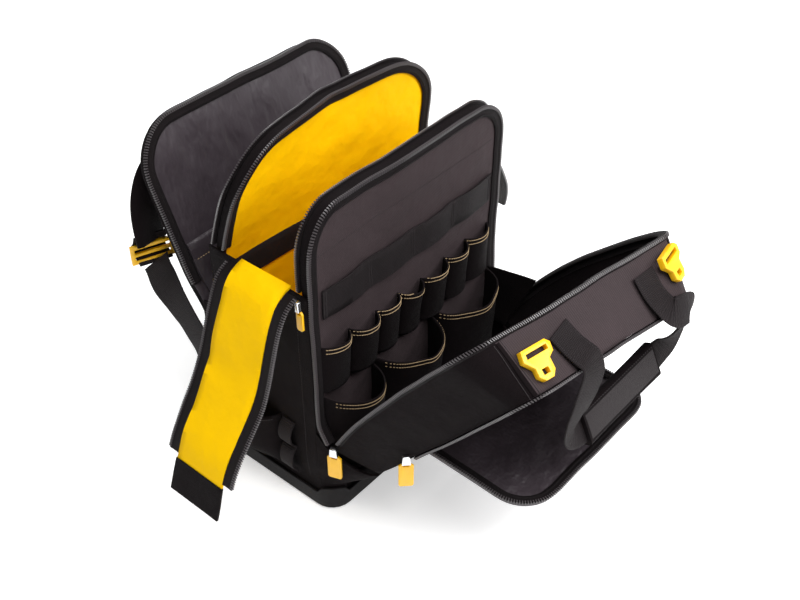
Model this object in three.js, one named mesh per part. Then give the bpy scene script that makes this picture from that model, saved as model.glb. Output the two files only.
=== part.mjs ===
// A tool backpack standing wide open on its moulded base, in millimetres with +Z up.
// X is the width, -Y the front and the origin the centre of the base's underside.
// Cloth pieces are thin closed slabs over a grid of points, padded ones thicker slabs.

import * as THREE from 'three';

// Body
const BODY_W = 330; // outside width of the base
const BODY_D = 204; // outside depth of the base
const BASE_R = 28; // radius of the base's front corners
const BASE_REAR_R = 8; // radius of its rear corners
const BASE_FLOOR = 4; // thickness of the moulded floor
const BASE_WALL = 3.5; // thickness of the moulded rim
const BASE_RIM = 24; // height of the moulded rim between the corners
const GUARD_RISE = 12; // how much higher the corner guards stand
const CLOTH = 2.5; // thickness of the outer cloth with its lining
const THIN = 1.8; // thickness of a single cloth or webbing
const GAP = 0.3; // clearance between neighbouring pieces
const WALL_PUFF = 4; // how far the cloth wall swells past the base's rim
const MIDDLE_WALL_H = 325; // top of the side wall beside the middle compartment
const REAR_WALL_H = 240; // top of the side wall beside the rear compartment
const FRONT_WALL_H = 84; // height of the fold where the front cover tips forward
const FRONT_WALL_LEAN = 48; // how far that fold stands in front of the base

// Padded panels
const DIVIDER_W = 323; // width of the two dividers and the back panel
const DIVIDER_LOW_W = 312; // their width down inside the base's rim
const FRONT_DIVIDER_Y = -74;
const FRONT_DIVIDER_H = 423;
const FRONT_DIVIDER_T = 13;
const FRONT_DIVIDER_R = 46;
const MIDDLE_DIVIDER_H = 451;
const MIDDLE_DIVIDER_T = 12;
const MIDDLE_DIVIDER_R = 70;
const BACK_PANEL_Y = 88;
const BACK_PANEL_L = 440; // length of the back panel along its own curve
const BACK_PANEL_T = 12;
const BACK_PANEL_R = 58;

// Zips
const ZIP_W = 11; // width of a zip tape with its teeth
const ZIP_T = 3.2; // thickness of a zip tape with its piping
const ZIP_PROUD = 3; // how far a zip tape stands past the edge of its panel

// Front cover
const COVER_W = 324; // width at its rim
const COVER_FACE_W = 280; // width at its front face
const COVER_R = 34; // corner radius of its rim
const COVER_FACE_R = 30; // corner radius of its front face
const POCKET_V = 0.24; // where the front pocket starts, as a share of the cover's height
const POCKET_DEPTH = 0.3; // depth of the front pocket, as a share of the cover's depth
const FLAP_W = 238;
const FLAP_L = 152;
const FLAP_FRONT_Y = -341; // how far forward its free end reaches
const FLAP_T = 5;
const FLAP_Z = 139; // height at which the lowered pocket flap stands out
const FLAP_SAG = 6; // how much lower its free end hangs

// Straps and small parts
const STRIP_W = 104; // width of a gusset strip with its two zip tapes
const STRIP_TAPE = 15; // width of each of those tapes
const STRIP_T = 3;
const STRIP_L = 226; // length of the strip up to its end tab
const TAB_L = 40; // length of the end tab
const STRIP_Y = -18; // middle of the strip, front to back
const WEB_W = 38; // width of the webbing
const WEB_T = 2.2; // thickness of the webbing
const PAD_W = 58; // width of a shoulder pad
const PAD_T = 11; // thickness of a shoulder pad
const GRIP_L = 142; // length of the wrap on the carry handle
const GRIP_W = 44;
const GRIP_T = 15;
const PULL_W = 17;
const PULL_L = 36;
const PULL_T = 2.6;
const SLIDER_L = 13; // length of a zip slider
const PULL_GAP = 0.9; // between a slider and the top of its pull

// Each row is one place along the height of a panel's side: its share of the length and its lean.
const BACK_LEAN = [
  { share: 0, degrees: 0 },
  { share: 0.43, degrees: 0 },
  { share: 0.53, degrees: 46 },
  { share: 0.61, degrees: 24 },
  { share: 1, degrees: 20 },
];

// Front-to-back place of the middle divider at its left edge, centre and right edge.
const MIDDLE_Y = [
  { across: -1, low: 52, middle: 64, top: 14 },
  { across: 0, low: 52, middle: 52, top: 41 },
  { across: 1, low: 52, middle: 43, top: 26 },
];

// Top edge of the side walls: a place from back to front, and the height there as a named size.
const SIDE_TOP = [
  { y: 94, z: REAR_WALL_H - 6 },
  { y: 72, z: REAR_WALL_H },
  { y: 70, z: MIDDLE_WALL_H },
  { y: -79.2, z: MIDDLE_WALL_H },
  { y: -79.5, z: 126 },
  { y: -88, z: 104 },
  { y: -96, z: 92 },
];

// The cover's four edges at its left and right side: rim and front face, bottom and top.
const COVER_LEFT = {
  rimLow: [-101, 113], rimTop: [-280, 362], faceLow: [-150, 88], faceTop: [-337, 321], bow: 10,
};
const COVER_RIGHT = {
  rimLow: [-103, 115], rimTop: [-323, 351], faceLow: [-153, 88], faceTop: [-368, 297], bow: 22,
};

// Path of each gusset strip as it folds over the wall and hangs outwards, as shares of its length:
// how far it stands out from the wall, how far it drops and how far it drifts back.
const STRIP_PATH_LEFT = [
  { out: 0, drop: 0, back: 0 }, { out: 0.09, drop: 0.05, back: 0 },
  { out: 0.25, drop: 0.42, back: 0 }, { out: 0.44, drop: 0.69, back: 0 },
  { out: 0.53, drop: 0.93, back: 0 },
];
const STRIP_PATH_RIGHT = [
  { out: 0, drop: 0, back: 0 }, { out: 0.1, drop: 0.07, back: 0.03 },
  { out: 0.32, drop: 0.33, back: 0.12 }, { out: 0.52, drop: 0.58, back: 0.24 },
  { out: 0.66, drop: 0.82, back: 0.36 },
];

// Tool loops and pouches on the front divider: left edge, right edge and how far each bulges.
const TOOL_LOOPS = [
  { left: -152, right: -110, bulge: 15 }, { left: -110, right: -66, bulge: 20 },
  { left: -66, right: -26, bulge: 15 }, { left: -26, right: 14, bulge: 16 },
  { left: 14, right: 60, bulge: 20 }, { left: 60, right: 104, bulge: 17 },
  { left: 104, right: 148, bulge: 14 },
];
const LOOP_LOW = 186;
const LOOP_HIGH = 252;
const POUCHES = [
  { name: 'tool_pouch_left', left: -150, right: -72, bulge: 46, high: 176 },
  { name: 'tool_pouch_middle', left: -66, right: 34, bulge: 52, high: 180 },
  { name: 'tool_pouch_right', left: 40, right: 148, bulge: 46, high: 182 },
];
const POUCH_LOW = 60;

const LEAD = BASE_FLOOR + GAP; // where the inner pieces stand on the floor
const HALF_WALL = BODY_W / 2 - BASE_WALL - GAP; // outside of the cloth wall inside the rim
const HALF_DEPTH = BODY_D / 2 - BASE_WALL - GAP;
const WALL_R = BASE_R - BASE_WALL - GAP;

// Finishes
const finish = (color, roughness, metalness = 0) => ({ color, roughness, metalness });
const BLACK_CLOTH = finish(0x19181a, 0.85);
const TWILL = finish(0x2a2a2c, 0.9);
const LINING = finish(0x333437, 0.55);
const YELLOW_CLOTH = finish(0xffc400, 0.75);
const WEBBING = finish(0x1d1d1f, 0.8);
const ZIP = finish(0x242426, 0.6);
const MOULDED = finish(0x3a3a3c, 0.7);
const YELLOW_PLASTIC = finish(0xffb400, 0.4);
const STEEL = finish(0xb9bbbd, 0.3, 1);

const bag = new THREE.Group();

function add(name, geometry, look, place = (mesh) => mesh) {
  const mesh = new THREE.Mesh(geometry, new THREE.MeshStandardMaterial(look));
  mesh.name = name;
  place(mesh);
  bag.add(mesh);
  return mesh;
}

const V = (x, y, z) => new THREE.Vector3(x, y, z);
const mix = (a, b, t) => a + (b - a) * t;
const clamp = (t) => Math.min(1, Math.max(0, t));
const ease = (t) => clamp(t) * clamp(t) * (3 - 2 * clamp(t));

// Value of a table's column at a place, on straight lines between its rows.
function lookUp(table, key, at, column) {
  const rising = table[table.length - 1][key] > table[0][key];
  const rows = rising ? table : [...table].reverse();
  if (at <= rows[0][key]) return rows[0][column];
  for (let i = 1; i < rows.length; i += 1) {
    const [a, b] = [rows[i - 1], rows[i]];
    if (at <= b[key]) return mix(a[column], b[column], (at - a[key]) / (b[key] - a[key]));
  }
  return rows[rows.length - 1][column];
}

function solid(points, faces) {
  const at = (i) => points[i];
  let volume = 0;
  for (const [a, b, c] of faces) {
    volume += at(a).dot(V(0, 0, 0).crossVectors(at(b), at(c)));
  }
  const turned = volume < 0 ? faces.map(([a, b, c]) => [a, c, b]) : faces;
  const geometry = new THREE.BufferGeometry();
  const flat = points.flatMap((p) => [p.x, p.y, p.z]);
  geometry.setAttribute('position', new THREE.Float32BufferAttribute(flat, 3));
  geometry.setIndex(turned.flat());
  geometry.computeVertexNormals();
  return geometry;
}

// A closed slab between two grids of points with the same rows and columns.
function slab(front, back) {
  const rows = front.length;
  const columns = front[0].length;
  const points = [...front.flat(), ...back.flat()];
  const id = (side, r, c) => side * rows * columns + r * columns + c;
  const faces = [];
  const quad = (a, b, c, d) => faces.push([a, b, c], [a, c, d]);
  for (let r = 0; r < rows - 1; r += 1) {
    for (let c = 0; c < columns - 1; c += 1) {
      quad(id(0, r, c), id(0, r, c + 1), id(0, r + 1, c + 1), id(0, r + 1, c));
      quad(id(1, r, c), id(1, r + 1, c), id(1, r + 1, c + 1), id(1, r, c + 1));
    }
  }
  for (let c = 0; c < columns - 1; c += 1) {
    quad(id(0, 0, c), id(1, 0, c), id(1, 0, c + 1), id(0, 0, c + 1));
    quad(id(0, rows - 1, c), id(0, rows - 1, c + 1), id(1, rows - 1, c + 1), id(1, rows - 1, c));
  }
  for (let r = 0; r < rows - 1; r += 1) {
    quad(id(0, r, 0), id(0, r + 1, 0), id(1, r + 1, 0), id(1, r, 0));
    quad(id(0, r, columns - 1), id(1, r, columns - 1), id(1, r + 1, columns - 1),
      id(0, r + 1, columns - 1));
  }
  return solid(points, faces);
}

// A cloth of even thickness on one side of a grid of points, which side is told by flip.
function cloth(grid, thickness, flip = 1) {
  const rows = grid.length;
  const columns = grid[0].length;
  const back = grid.map((row, r) => row.map((p, c) => {
    const along = V(0, 0, 0).subVectors(row[Math.min(c + 1, columns - 1)], row[Math.max(c - 1, 0)]);
    const up = V(0, 0, 0).subVectors(grid[Math.min(r + 1, rows - 1)][c], grid[Math.max(r - 1, 0)][c]);
    const normal = V(0, 0, 0).crossVectors(along, up).normalize();
    return p.clone().addScaledVector(normal, thickness * flip);
  }));
  return slab(grid, back);
}

// A solid through rings of points, each ring the section at one place, closed at both ends.
function loft(rings) {
  const n = rings[0].length;
  const points = rings.flat();
  const faces = [];
  for (let i = 0; i < rings.length - 1; i += 1) {
    for (let j = 0; j < n; j += 1) {
      const k = (j + 1) % n;
      faces.push([i * n + j, i * n + k, (i + 1) * n + k], [i * n + j, (i + 1) * n + k, (i + 1) * n + j]);
    }
  }
  const last = (rings.length - 1) * n;
  for (let j = 1; j < n - 1; j += 1) {
    faces.push([0, j + 1, j], [last, last + j, last + j + 1]);
  }
  return solid(points, faces);
}

// Webbing or a strap: a flat section carried along a smooth path, its face turned by facing(t).
function ribbon(path, facing, width, thickness, steps) {
  const curve = new THREE.CatmullRomCurve3(path);
  const rings = [];
  for (let i = 0; i <= steps; i += 1) {
    const t = i / steps;
    const p = curve.getPoint(t);
    const tangent = curve.getTangent(t);
    const across = V(0, 0, 0).crossVectors(facing(t), tangent).normalize().multiplyScalar(width / 2);
    const out = V(0, 0, 0).crossVectors(tangent, across).normalize().multiplyScalar(thickness / 2);
    rings.push([
      p.clone().add(across).add(out), p.clone().sub(across).add(out),
      p.clone().sub(across).sub(out), p.clone().add(across).sub(out),
    ]);
  }
  return loft(rings);
}

// Path up the left side, round the two top corners and down the right side of a panel,
// with the inward direction at each point.
function archPath(width, low, high, radius, sideSteps, arcSteps, topSteps) {
  const path = [];
  const half = width / 2;
  for (let i = 0; i < sideSteps; i += 1) {
    path.push({ x: -half, z: mix(low, high - radius, i / sideSteps), ix: 1, iz: 0 });
  }
  for (let i = 0; i <= arcSteps; i += 1) {
    const a = (i / arcSteps) * Math.PI / 2;
    path.push({
      x: -half + radius - radius * Math.cos(a), z: high - radius + radius * Math.sin(a),
      ix: Math.cos(a), iz: -Math.sin(a),
    });
  }
  for (let i = 1; i < topSteps; i += 1) {
    path.push({ x: mix(-half + radius, 0, i / topSteps), z: high, ix: 0, iz: -1 });
  }
  const mirrored = path.map((p) => ({ x: -p.x, z: p.z, ix: -p.ix, iz: p.iz })).reverse();
  return [...path, { x: 0, z: high, ix: 0, iz: -1 }, ...mirrored];
}

// Half width of a panel with rounded top corners at a height.
function archHalf(width, high, radius, z) {
  const over = clamp((z - (high - radius)) / radius);
  return width / 2 - radius * (1 - Math.sqrt(1 - over * over));
}

// Heights of a panel's rows, closer together round its top corners.
function archRows(low, high, radius, plain, round) {
  const rows = [];
  for (let i = 0; i < plain; i += 1) rows.push(mix(low, high - radius, i / plain));
  for (let i = 0; i <= round; i += 1) {
    rows.push(high - radius + radius * Math.sin((i / round) * Math.PI / 2));
  }
  return rows;
}

// A padded panel: place(x, z, t) gives a point at t in front of its middle surface.
function paddedPanel(place, width, low, high, radius, thickness, columns = 8, plain = 9, round = 5) {
  const side = (t) => archRows(low, high, radius, plain, round).map((z) => {
    const half = archHalf(width, high, radius, z);
    return Array.from({ length: columns + 1 }, (_, c) => place(mix(-half, half, c / columns), z, t));
  });
  return slab(side(thickness / 2), side(-thickness / 2));
}

// A zip tape round the edge of a panel, from t0 to t1 in front of its middle surface.
function zipTape(place, path, t0, t1, inner = ZIP_W - ZIP_PROUD, outer = ZIP_PROUD) {
  return loft(path.map(({ x, z, ix, iz }) => {
    const at = (a, t) => place(x + ix * a, z + iz * a, t);
    return [at(-outer, t0), at(inner, t0), at(inner, t1), at(-outer, t1)];
  }));
}

// The middle surfaces of the three panels, all a little narrower inside the base's rim
const narrowed = (x, z) => x * mix(DIVIDER_LOW_W / DIVIDER_W, 1, ease((z - BASE_RIM - GUARD_RISE) / 70));
const frontDividerAt = (x, z, t) => V(narrowed(x, z), FRONT_DIVIDER_Y - t, z);

function middleDividerY(x, z) {
  const across = clamp((x / (DIVIDER_W / 2) + 1) / 2) * 2 - 1;
  const low = lookUp(MIDDLE_Y, 'across', across, 'low');
  const middle = lookUp(MIDDLE_Y, 'across', across, 'middle');
  const top = lookUp(MIDDLE_Y, 'across', across, 'top');
  const start = MIDDLE_WALL_H - 30;
  if (z < start) return mix(low, middle, ease(z / start));
  return mix(middle, top, ((z - start) / (MIDDLE_DIVIDER_H - start)) ** 1.2);
}
const middleDividerAt = (x, z, t) => V(narrowed(x, z), middleDividerY(x, z) - t, z);

const BACK_STEPS = 110;
const backCurve = [{ y: BACK_PANEL_Y, z: LEAD, lean: 0 }];
for (let i = 1; i <= BACK_STEPS; i += 1) {
  const lean = THREE.MathUtils.degToRad(lookUp(BACK_LEAN, 'share', i / BACK_STEPS, 'degrees'));
  const step = BACK_PANEL_L / BACK_STEPS;
  const { y, z } = backCurve[i - 1];
  backCurve.push({ y: y + Math.sin(lean) * step, z: z + Math.cos(lean) * step, lean });
}
function backPanelAt(x, length, t) {
  const i = Math.min(BACK_STEPS, Math.max(0, (length / BACK_PANEL_L) * BACK_STEPS));
  const [a, b] = [backCurve[Math.floor(i)], backCurve[Math.ceil(i)]];
  const f = i - Math.floor(i);
  const lean = mix(a.lean, b.lean, f);
  const z = mix(a.z, b.z, f) + t * Math.sin(lean);
  return V(narrowed(x, z), mix(a.y, b.y, f) - t * Math.cos(lean), z);
}

function makeBase() {
  const outline = (inset) => {
    const points = [];
    const [half, depth] = [BODY_W / 2 - inset, BODY_D / 2 - inset];
    const corners = [[1, 1, 0], [-1, 1, 90], [-1, -1, 180], [1, -1, 270]];
    for (const [sx, sy, start] of corners) {
      const radius = (sy > 0 ? BASE_REAR_R : BASE_R) - inset;
      for (let i = 0; i <= 6; i += 1) {
        const a = THREE.MathUtils.degToRad(start + 15 * i);
        points.push([sx * (half - radius) + radius * Math.cos(a), sy * (depth - radius)
          + radius * Math.sin(a), Math.abs(Math.sin(2 * a))]);
      }
    }
    return points;
  };
  const ring = (inset, z, guard = 0) => outline(inset).map(([x, y, corner]) => (
    V(x, y, z + guard * ease(corner * 1.4))));
  const rings = [
    ring(3, 0), ring(0, 3), ring(0, BASE_RIM, GUARD_RISE), ring(BASE_WALL, BASE_RIM, GUARD_RISE),
    ring(BASE_WALL, BASE_FLOOR),
  ];
  add('moulded_base', loft(rings), MOULDED);
}

// One stretch of the cloth wall round the body, as columns of plan points with their top height.
function wallGrid(columns, rows = 9) {
  const guard = BASE_RIM + GUARD_RISE;
  return Array.from({ length: rows + 1 }, (_, r) => columns.map(({ x, y, nx, ny, top }) => {
    const z = r === 0 ? LEAD : mix(guard + 1, top, (r - 1) / (rows - 1));
    const puff = WALL_PUFF * ease((z - guard - 1) / 40);
    const rise = clamp((z - guard - 1) / (FRONT_WALL_H - guard - 1));
    const lean = Math.max(0, -ny) ** 2 * FRONT_WALL_LEAN * rise;
    return V(x + nx * puff, y + ny * (puff + lean), z);
  }));
}

function makeWalls() {
  const cornerY = -HALF_DEPTH + WALL_R;
  const cornerX = HALF_WALL - WALL_R;
  for (const [name, side] of [['left_side_wall', -1], ['right_side_wall', 1]]) {
    const columns = [];
    const places = [94, 83, 72, 70, 45, 20, -5, -30, -55, cornerY, -79.2, -79.5];
    for (const y of places) {
      const inward = WALL_R - Math.sqrt(WALL_R ** 2 - Math.min(0, y - cornerY) ** 2);
      const top = lookUp(SIDE_TOP, 'y', y, 'z');
      columns.push({ x: side * (HALF_WALL - inward), y, nx: side, ny: 0, top });
    }
    for (const degrees of [15, 30, 45, 60, 75, 90]) {
      const a = THREE.MathUtils.degToRad(degrees);
      const y = cornerY - WALL_R * Math.sin(a);
      const over = lookUp(SIDE_TOP, 'y', y, 'z');
      const top = degrees < 40 ? over : mix(over, FRONT_WALL_H, ease((degrees - 40) / 50));
      columns.push({
        x: side * (cornerX + WALL_R * Math.cos(a)), y, nx: side * Math.cos(a), ny: -Math.sin(a), top,
      });
    }
    add(name, cloth(wallGrid(columns), CLOTH, side), BLACK_CLOTH);
  }
  const columns = Array.from({ length: 9 }, (_, c) => ({
    x: mix(-cornerX + 1.5, cornerX - 1.5, c / 8), y: -HALF_DEPTH, nx: 0, ny: -1, top: FRONT_WALL_H,
  }));
  add('front_wall', cloth(wallGrid(columns, 5), CLOTH, -1), BLACK_CLOTH);
}

// A thin cheek joins the right wall and the cover where that side's zip is only partly open.
function makeCheek() {
  const x = HALF_WALL - 10;
  const rows = [
    [[-83.5, 102], [-100, 103], [-115, 104]],
    [[-83.5, 130], [-106, 132], [-127, 134]],
    [[-83.5, 157], [-110, 160], [-142, 164]],
    [[-83.5, 184], [-118, 190], [-156, 197]],
  ];
  add('right_cheek', cloth(rows.map((row) => row.map(([y, z]) => V(x, y, z))), THIN, -1), BLACK_CLOTH);
}

function makePanels() {
  const half = DIVIDER_W / 2;
  add('front_divider', paddedPanel(frontDividerAt, DIVIDER_W, LEAD, FRONT_DIVIDER_H,
    FRONT_DIVIDER_R, FRONT_DIVIDER_T), TWILL);
  add('middle_divider', paddedPanel(middleDividerAt, DIVIDER_W, LEAD, MIDDLE_DIVIDER_H,
    MIDDLE_DIVIDER_R, MIDDLE_DIVIDER_T), YELLOW_CLOTH);
  add('back_panel', paddedPanel(backPanelAt, DIVIDER_W, 0, BACK_PANEL_L,
    BACK_PANEL_R, BACK_PANEL_T, 8, 14, 5), LINING);

  // The zip tapes on the dividers run down to the side walls' top edge, the foremost one on
  // down and forwards to the cover's zip end.
  const wallTop = MIDDLE_WALL_H + GAP + 2;
  const frontPath = archPath(DIVIDER_W, 118, FRONT_DIVIDER_H, FRONT_DIVIDER_R, 12, 6, 3);
  const forward = (x, z, t) => frontDividerAt(x, z, t + 15 * ease((148 - z) / 34));
  const face = FRONT_DIVIDER_T / 2 + GAP;
  add('front_divider_front_zip', zipTape(forward, frontPath, face, face + ZIP_T), ZIP);
  const rearPath = archPath(DIVIDER_W, wallTop, FRONT_DIVIDER_H, FRONT_DIVIDER_R, 3, 6, 3);
  add('front_divider_rear_zip', zipTape(frontDividerAt, rearPath, -face - ZIP_T, -face), ZIP);
  const middlePath = archPath(DIVIDER_W, wallTop, MIDDLE_DIVIDER_H, MIDDLE_DIVIDER_R, 4, 7, 4);
  const middleFace = MIDDLE_DIVIDER_T / 2 + 2 * GAP;
  add('middle_divider_front_zip', zipTape(middleDividerAt, middlePath, middleFace,
    middleFace + ZIP_T), ZIP);
  add('middle_divider_rear_zip', zipTape(middleDividerAt, middlePath, -middleFace - ZIP_T,
    -middleFace), ZIP);
  const backLow = REAR_WALL_H + 8;
  const backPath = archPath(DIVIDER_W, backLow, BACK_PANEL_L, BACK_PANEL_R, 7, 6, 3);
  const backFace = BACK_PANEL_T / 2 + 0.9;
  add('back_panel_zip', zipTape(backPanelAt, backPath, backFace, backFace + ZIP_T), ZIP);

  // A dark elastic band across the middle divider's lining, and a flat pocket in the back.
  const bandGrid = [268, 301].map((z) => Array.from({ length: 9 }, (_, c) => {
    const x = mix(-half + 3, half - 3, c / 8);
    return middleDividerAt(x, z, MIDDLE_DIVIDER_T / 2 + 2 * GAP);
  }));
  add('lining_band', cloth(bandGrid, THIN, 1), WEBBING);
  const pocketGrid = [0.05, 0.2, 0.35, 0.43, 0.5, 0.56, 0.62, 0.67].map((share) => (
    Array.from({ length: 5 }, (_, c) => {
      const x = mix(-half + 12, half - 12, c / 4);
      return backPanelAt(x, share * BACK_PANEL_L, BACK_PANEL_T / 2 + 0.9);
    })));
  add('back_panel_pocket', cloth(pocketGrid, THIN, 1), LINING);
}

// The row of tool loops, the webbing band over it and the pouches under it.
function makeOrganiser() {
  const face = FRONT_DIVIDER_Y - FRONT_DIVIDER_T / 2 - GAP;
  const xs = TOOL_LOOPS.flatMap(({ left, right, bulge }, i) => {
    const shares = i === 0 ? [0, 0.12, 0.35, 0.65, 0.88, 1] : [0.12, 0.35, 0.65, 0.88, 1];
    return shares.map((share) => ({
      x: mix(left, right, share), out: bulge * Math.sin(Math.PI * share) ** 0.7,
    }));
  });
  const loops = [0, 0.5, 1].map((v) => xs.map(({ x, out }) => (
    V(x, face - out * mix(0.55, 1, v), mix(LOOP_LOW, LOOP_HIGH, v)))));
  add('tool_loops', cloth(loops, THIN, 1), BLACK_CLOTH);

  for (const { name, left, right, bulge, high } of POUCHES) {
    const heights = [0, 0.04, 0.14, 0.35, 0.65, 1];
    const across = [0, 0.06, 0.2, 0.4, 0.6, 0.8, 0.94, 1];
    const grid = heights.map((v) => across.map((u) => {
      const out = bulge * Math.sin(Math.PI * clamp(u)) ** 0.55 * Math.sqrt(clamp(v * 7)) * mix(0.8, 1, v);
      return V(mix(left, right, u), face - out, mix(POUCH_LOW, high, v));
    }));
    add(name, cloth(grid, THIN, 1), BLACK_CLOTH);
  }

  const band = [0, 1].map((v) => Array.from({ length: 17 }, (_, c) => {
    const slack = 3 * Math.abs(Math.sin((c / 4) * Math.PI));
    const reach = DIVIDER_W / 2 - 15.5;
    return V(mix(-reach, reach, c / 16), face - slack, mix(288, 288 + WEB_W, v));
  }));
  add('divider_webbing', cloth(band, THIN, 1), WEBBING);
}

// The cover is a shallow tray tipped forwards: place(x, v, w) has x from -1 to 1 across,
// v from 0 to 1 up its height and w from 0 at the rim to 1 at the front face.
function coverAt(x, v, w) {
  const point = (side) => {
    const rim = [0, 1].map((i) => mix(side.rimLow[i], side.rimTop[i], v));
    const face = [0, 1].map((i) => mix(side.faceLow[i], side.faceTop[i], v));
    rim[0] += side.bow * Math.sin(Math.PI * clamp(v));
    return [mix(rim[0], face[0], w), mix(rim[1], face[1], w)];
  };
  const [left, right] = [point(COVER_LEFT), point(COVER_RIGHT)];
  const share = (x + 1) / 2;
  const half = mix(COVER_W, COVER_FACE_W, w) / 2;
  return V(x * half, mix(left[0], right[0], share), mix(left[1], right[1], share));
}
const COVER_L = Math.hypot(COVER_LEFT.rimTop[0] - COVER_LEFT.rimLow[0],
  COVER_LEFT.rimTop[1] - COVER_LEFT.rimLow[1]);

function makeCover() {
  const outline = (width, radius) => archPath(width, 4, COVER_L, radius, 10, 6, 4);
  const rim = outline(COVER_W, COVER_R);
  const face = outline(COVER_FACE_W, COVER_FACE_R);
  const grid = [0.04, 0.28, 0.52, 0.76, 1].map((w) => rim.map((p, i) => {
    const q = face[i];
    return coverAt(mix(p.x / (COVER_W / 2), q.x / (COVER_FACE_W / 2), w),
      mix(p.z, q.z, w) / COVER_L, w);
  }));
  add('cover_gusset', cloth(grid, CLOTH, 1), BLACK_CLOTH);

  // The face steps in above the pocket's floor, which leaves the pocket open to the front.
  const inset = 1 - (2 * (CLOTH + 2.9)) / COVER_FACE_W;
  const top = 1 - (CLOTH + 3.6) / COVER_L;
  const profile = [
    { v: 0.02, w: 0.97 }, { v: 0.09, w: 0.98 }, { v: 0.17, w: 0.98 }, { v: POCKET_V, w: 0.97 },
    { v: POCKET_V + 0.012, w: 0.93 - POCKET_DEPTH }, { v: 0.45, w: 0.95 - POCKET_DEPTH },
    { v: 0.66, w: 0.95 - POCKET_DEPTH }, { v: 0.84, w: 0.95 - POCKET_DEPTH },
    { v: 0.94, w: 0.95 - POCKET_DEPTH }, { v: top, w: 0.95 - POCKET_DEPTH },
  ];
  const radius = COVER_FACE_R / COVER_L;
  const faceGrid = profile.map(({ v, w }) => {
    const over = clamp((v - (1 - radius)) / radius);
    const half = inset - (COVER_FACE_R / (COVER_FACE_W / 2)) * (1 - Math.sqrt(1 - over * over));
    return Array.from({ length: 9 }, (_, c) => coverAt(mix(-half, half, c / 8), v, w));
  });
  add('cover_face', cloth(faceGrid, THIN, 1), TWILL);

  const rimAt = (x, z, t) => coverAt(x / (COVER_W / 2), z / COVER_L, t);
  const depth = Math.hypot(COVER_LEFT.faceTop[0] - COVER_LEFT.rimTop[0],
    COVER_LEFT.faceTop[1] - COVER_LEFT.rimTop[1]);
  const rimZip = archPath(COVER_W, 20, COVER_L, COVER_R, 10, 6, 4);
  add('cover_zip', zipTape(rimAt, rimZip, 0.04 - (ZIP_T + 1.3) / depth, 0.04 - 1.3 / depth, 7, 1.5), ZIP);

  // The pocket's own zip runs on the face's edge, from the flap's hinge round the top.
  const faceAt = (x, z, t) => coverAt(x / (COVER_FACE_W / 2), z / COVER_L, t);
  const low = (POCKET_V + 0.03) * COVER_L;
  const pocketPath = archPath(COVER_FACE_W, low, COVER_L, COVER_FACE_R, 6, 5, 4);
  add('pocket_zip', zipTape(faceAt, pocketPath, 1 + 0.7 / depth, 1 + (ZIP_T + 0.7) / depth, 8, 1), ZIP);
}

// The pocket's flap stands out level like a drawbridge, hinged on the cover's face.
function flapAt(x, r, t) {
  const hinge = coverAt(x / (COVER_FACE_W / 2), POCKET_V - 0.02, 1);
  const share = r / FLAP_L;
  return V(x, mix(hinge.y - 5, FLAP_FRONT_Y, share), FLAP_Z - FLAP_SAG * share ** 2 - t);
}

function makeFlap() {
  const rounds = { left: 52, right: 34 };
  const edge = (r, radius) => {
    const over = clamp((r - (FLAP_L - radius)) / radius);
    return FLAP_W / 2 - radius * (1 - Math.sqrt(1 - over * over));
  };
  const middle = 6;
  const rows = [0, 0.2, 0.4, 0.6, 0.7, 0.78, 0.86, 0.92, 0.96, 0.985, 1].map((s) => s * FLAP_L);
  const side = (t) => rows.map((r) => Array.from({ length: 9 }, (_, c) => (
    flapAt(mix(middle - edge(r, rounds.left), middle + edge(r, rounds.right), c / 8), r, t))));
  add('pocket_flap', slab(side(0), side(FLAP_T)), LINING);

  const path = rows.map((r) => ({ x: middle - edge(r, rounds.left), r }));
  const far = Array.from({ length: 7 }, (_, i) => ({
    x: mix(middle - FLAP_W / 2 + rounds.left, middle + FLAP_W / 2 - rounds.right, (i + 1) / 8), r: FLAP_L,
  }));
  const back = rows.map((r) => ({ x: middle + edge(r, rounds.right), r })).reverse();
  const line = [...path, ...far, ...back].map(({ x, r }) => flapAt(x, r, 0));
  const rings = line.map((p, i) => {
    const along = V(0, 0, 0).subVectors(line[Math.min(i + 1, line.length - 1)], line[Math.max(i - 1, 0)]);
    const out = V(0, 0, 0).crossVectors(along, V(0, 0, 1)).normalize();
    const turned = out.dot(V(p.x - middle, p.y - line[0].y + FLAP_L / 2, 0)) < 0 ? -1 : 1;
    const at = (a, z) => p.clone().addScaledVector(out, turned * a).add(V(0, 0, z));
    return [at(-7, 0.9), at(2, 0.9), at(2, 0.9 + ZIP_T), at(-7, 0.9 + ZIP_T)];
  });
  add('flap_zip', loft(rings), ZIP);
}

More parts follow.
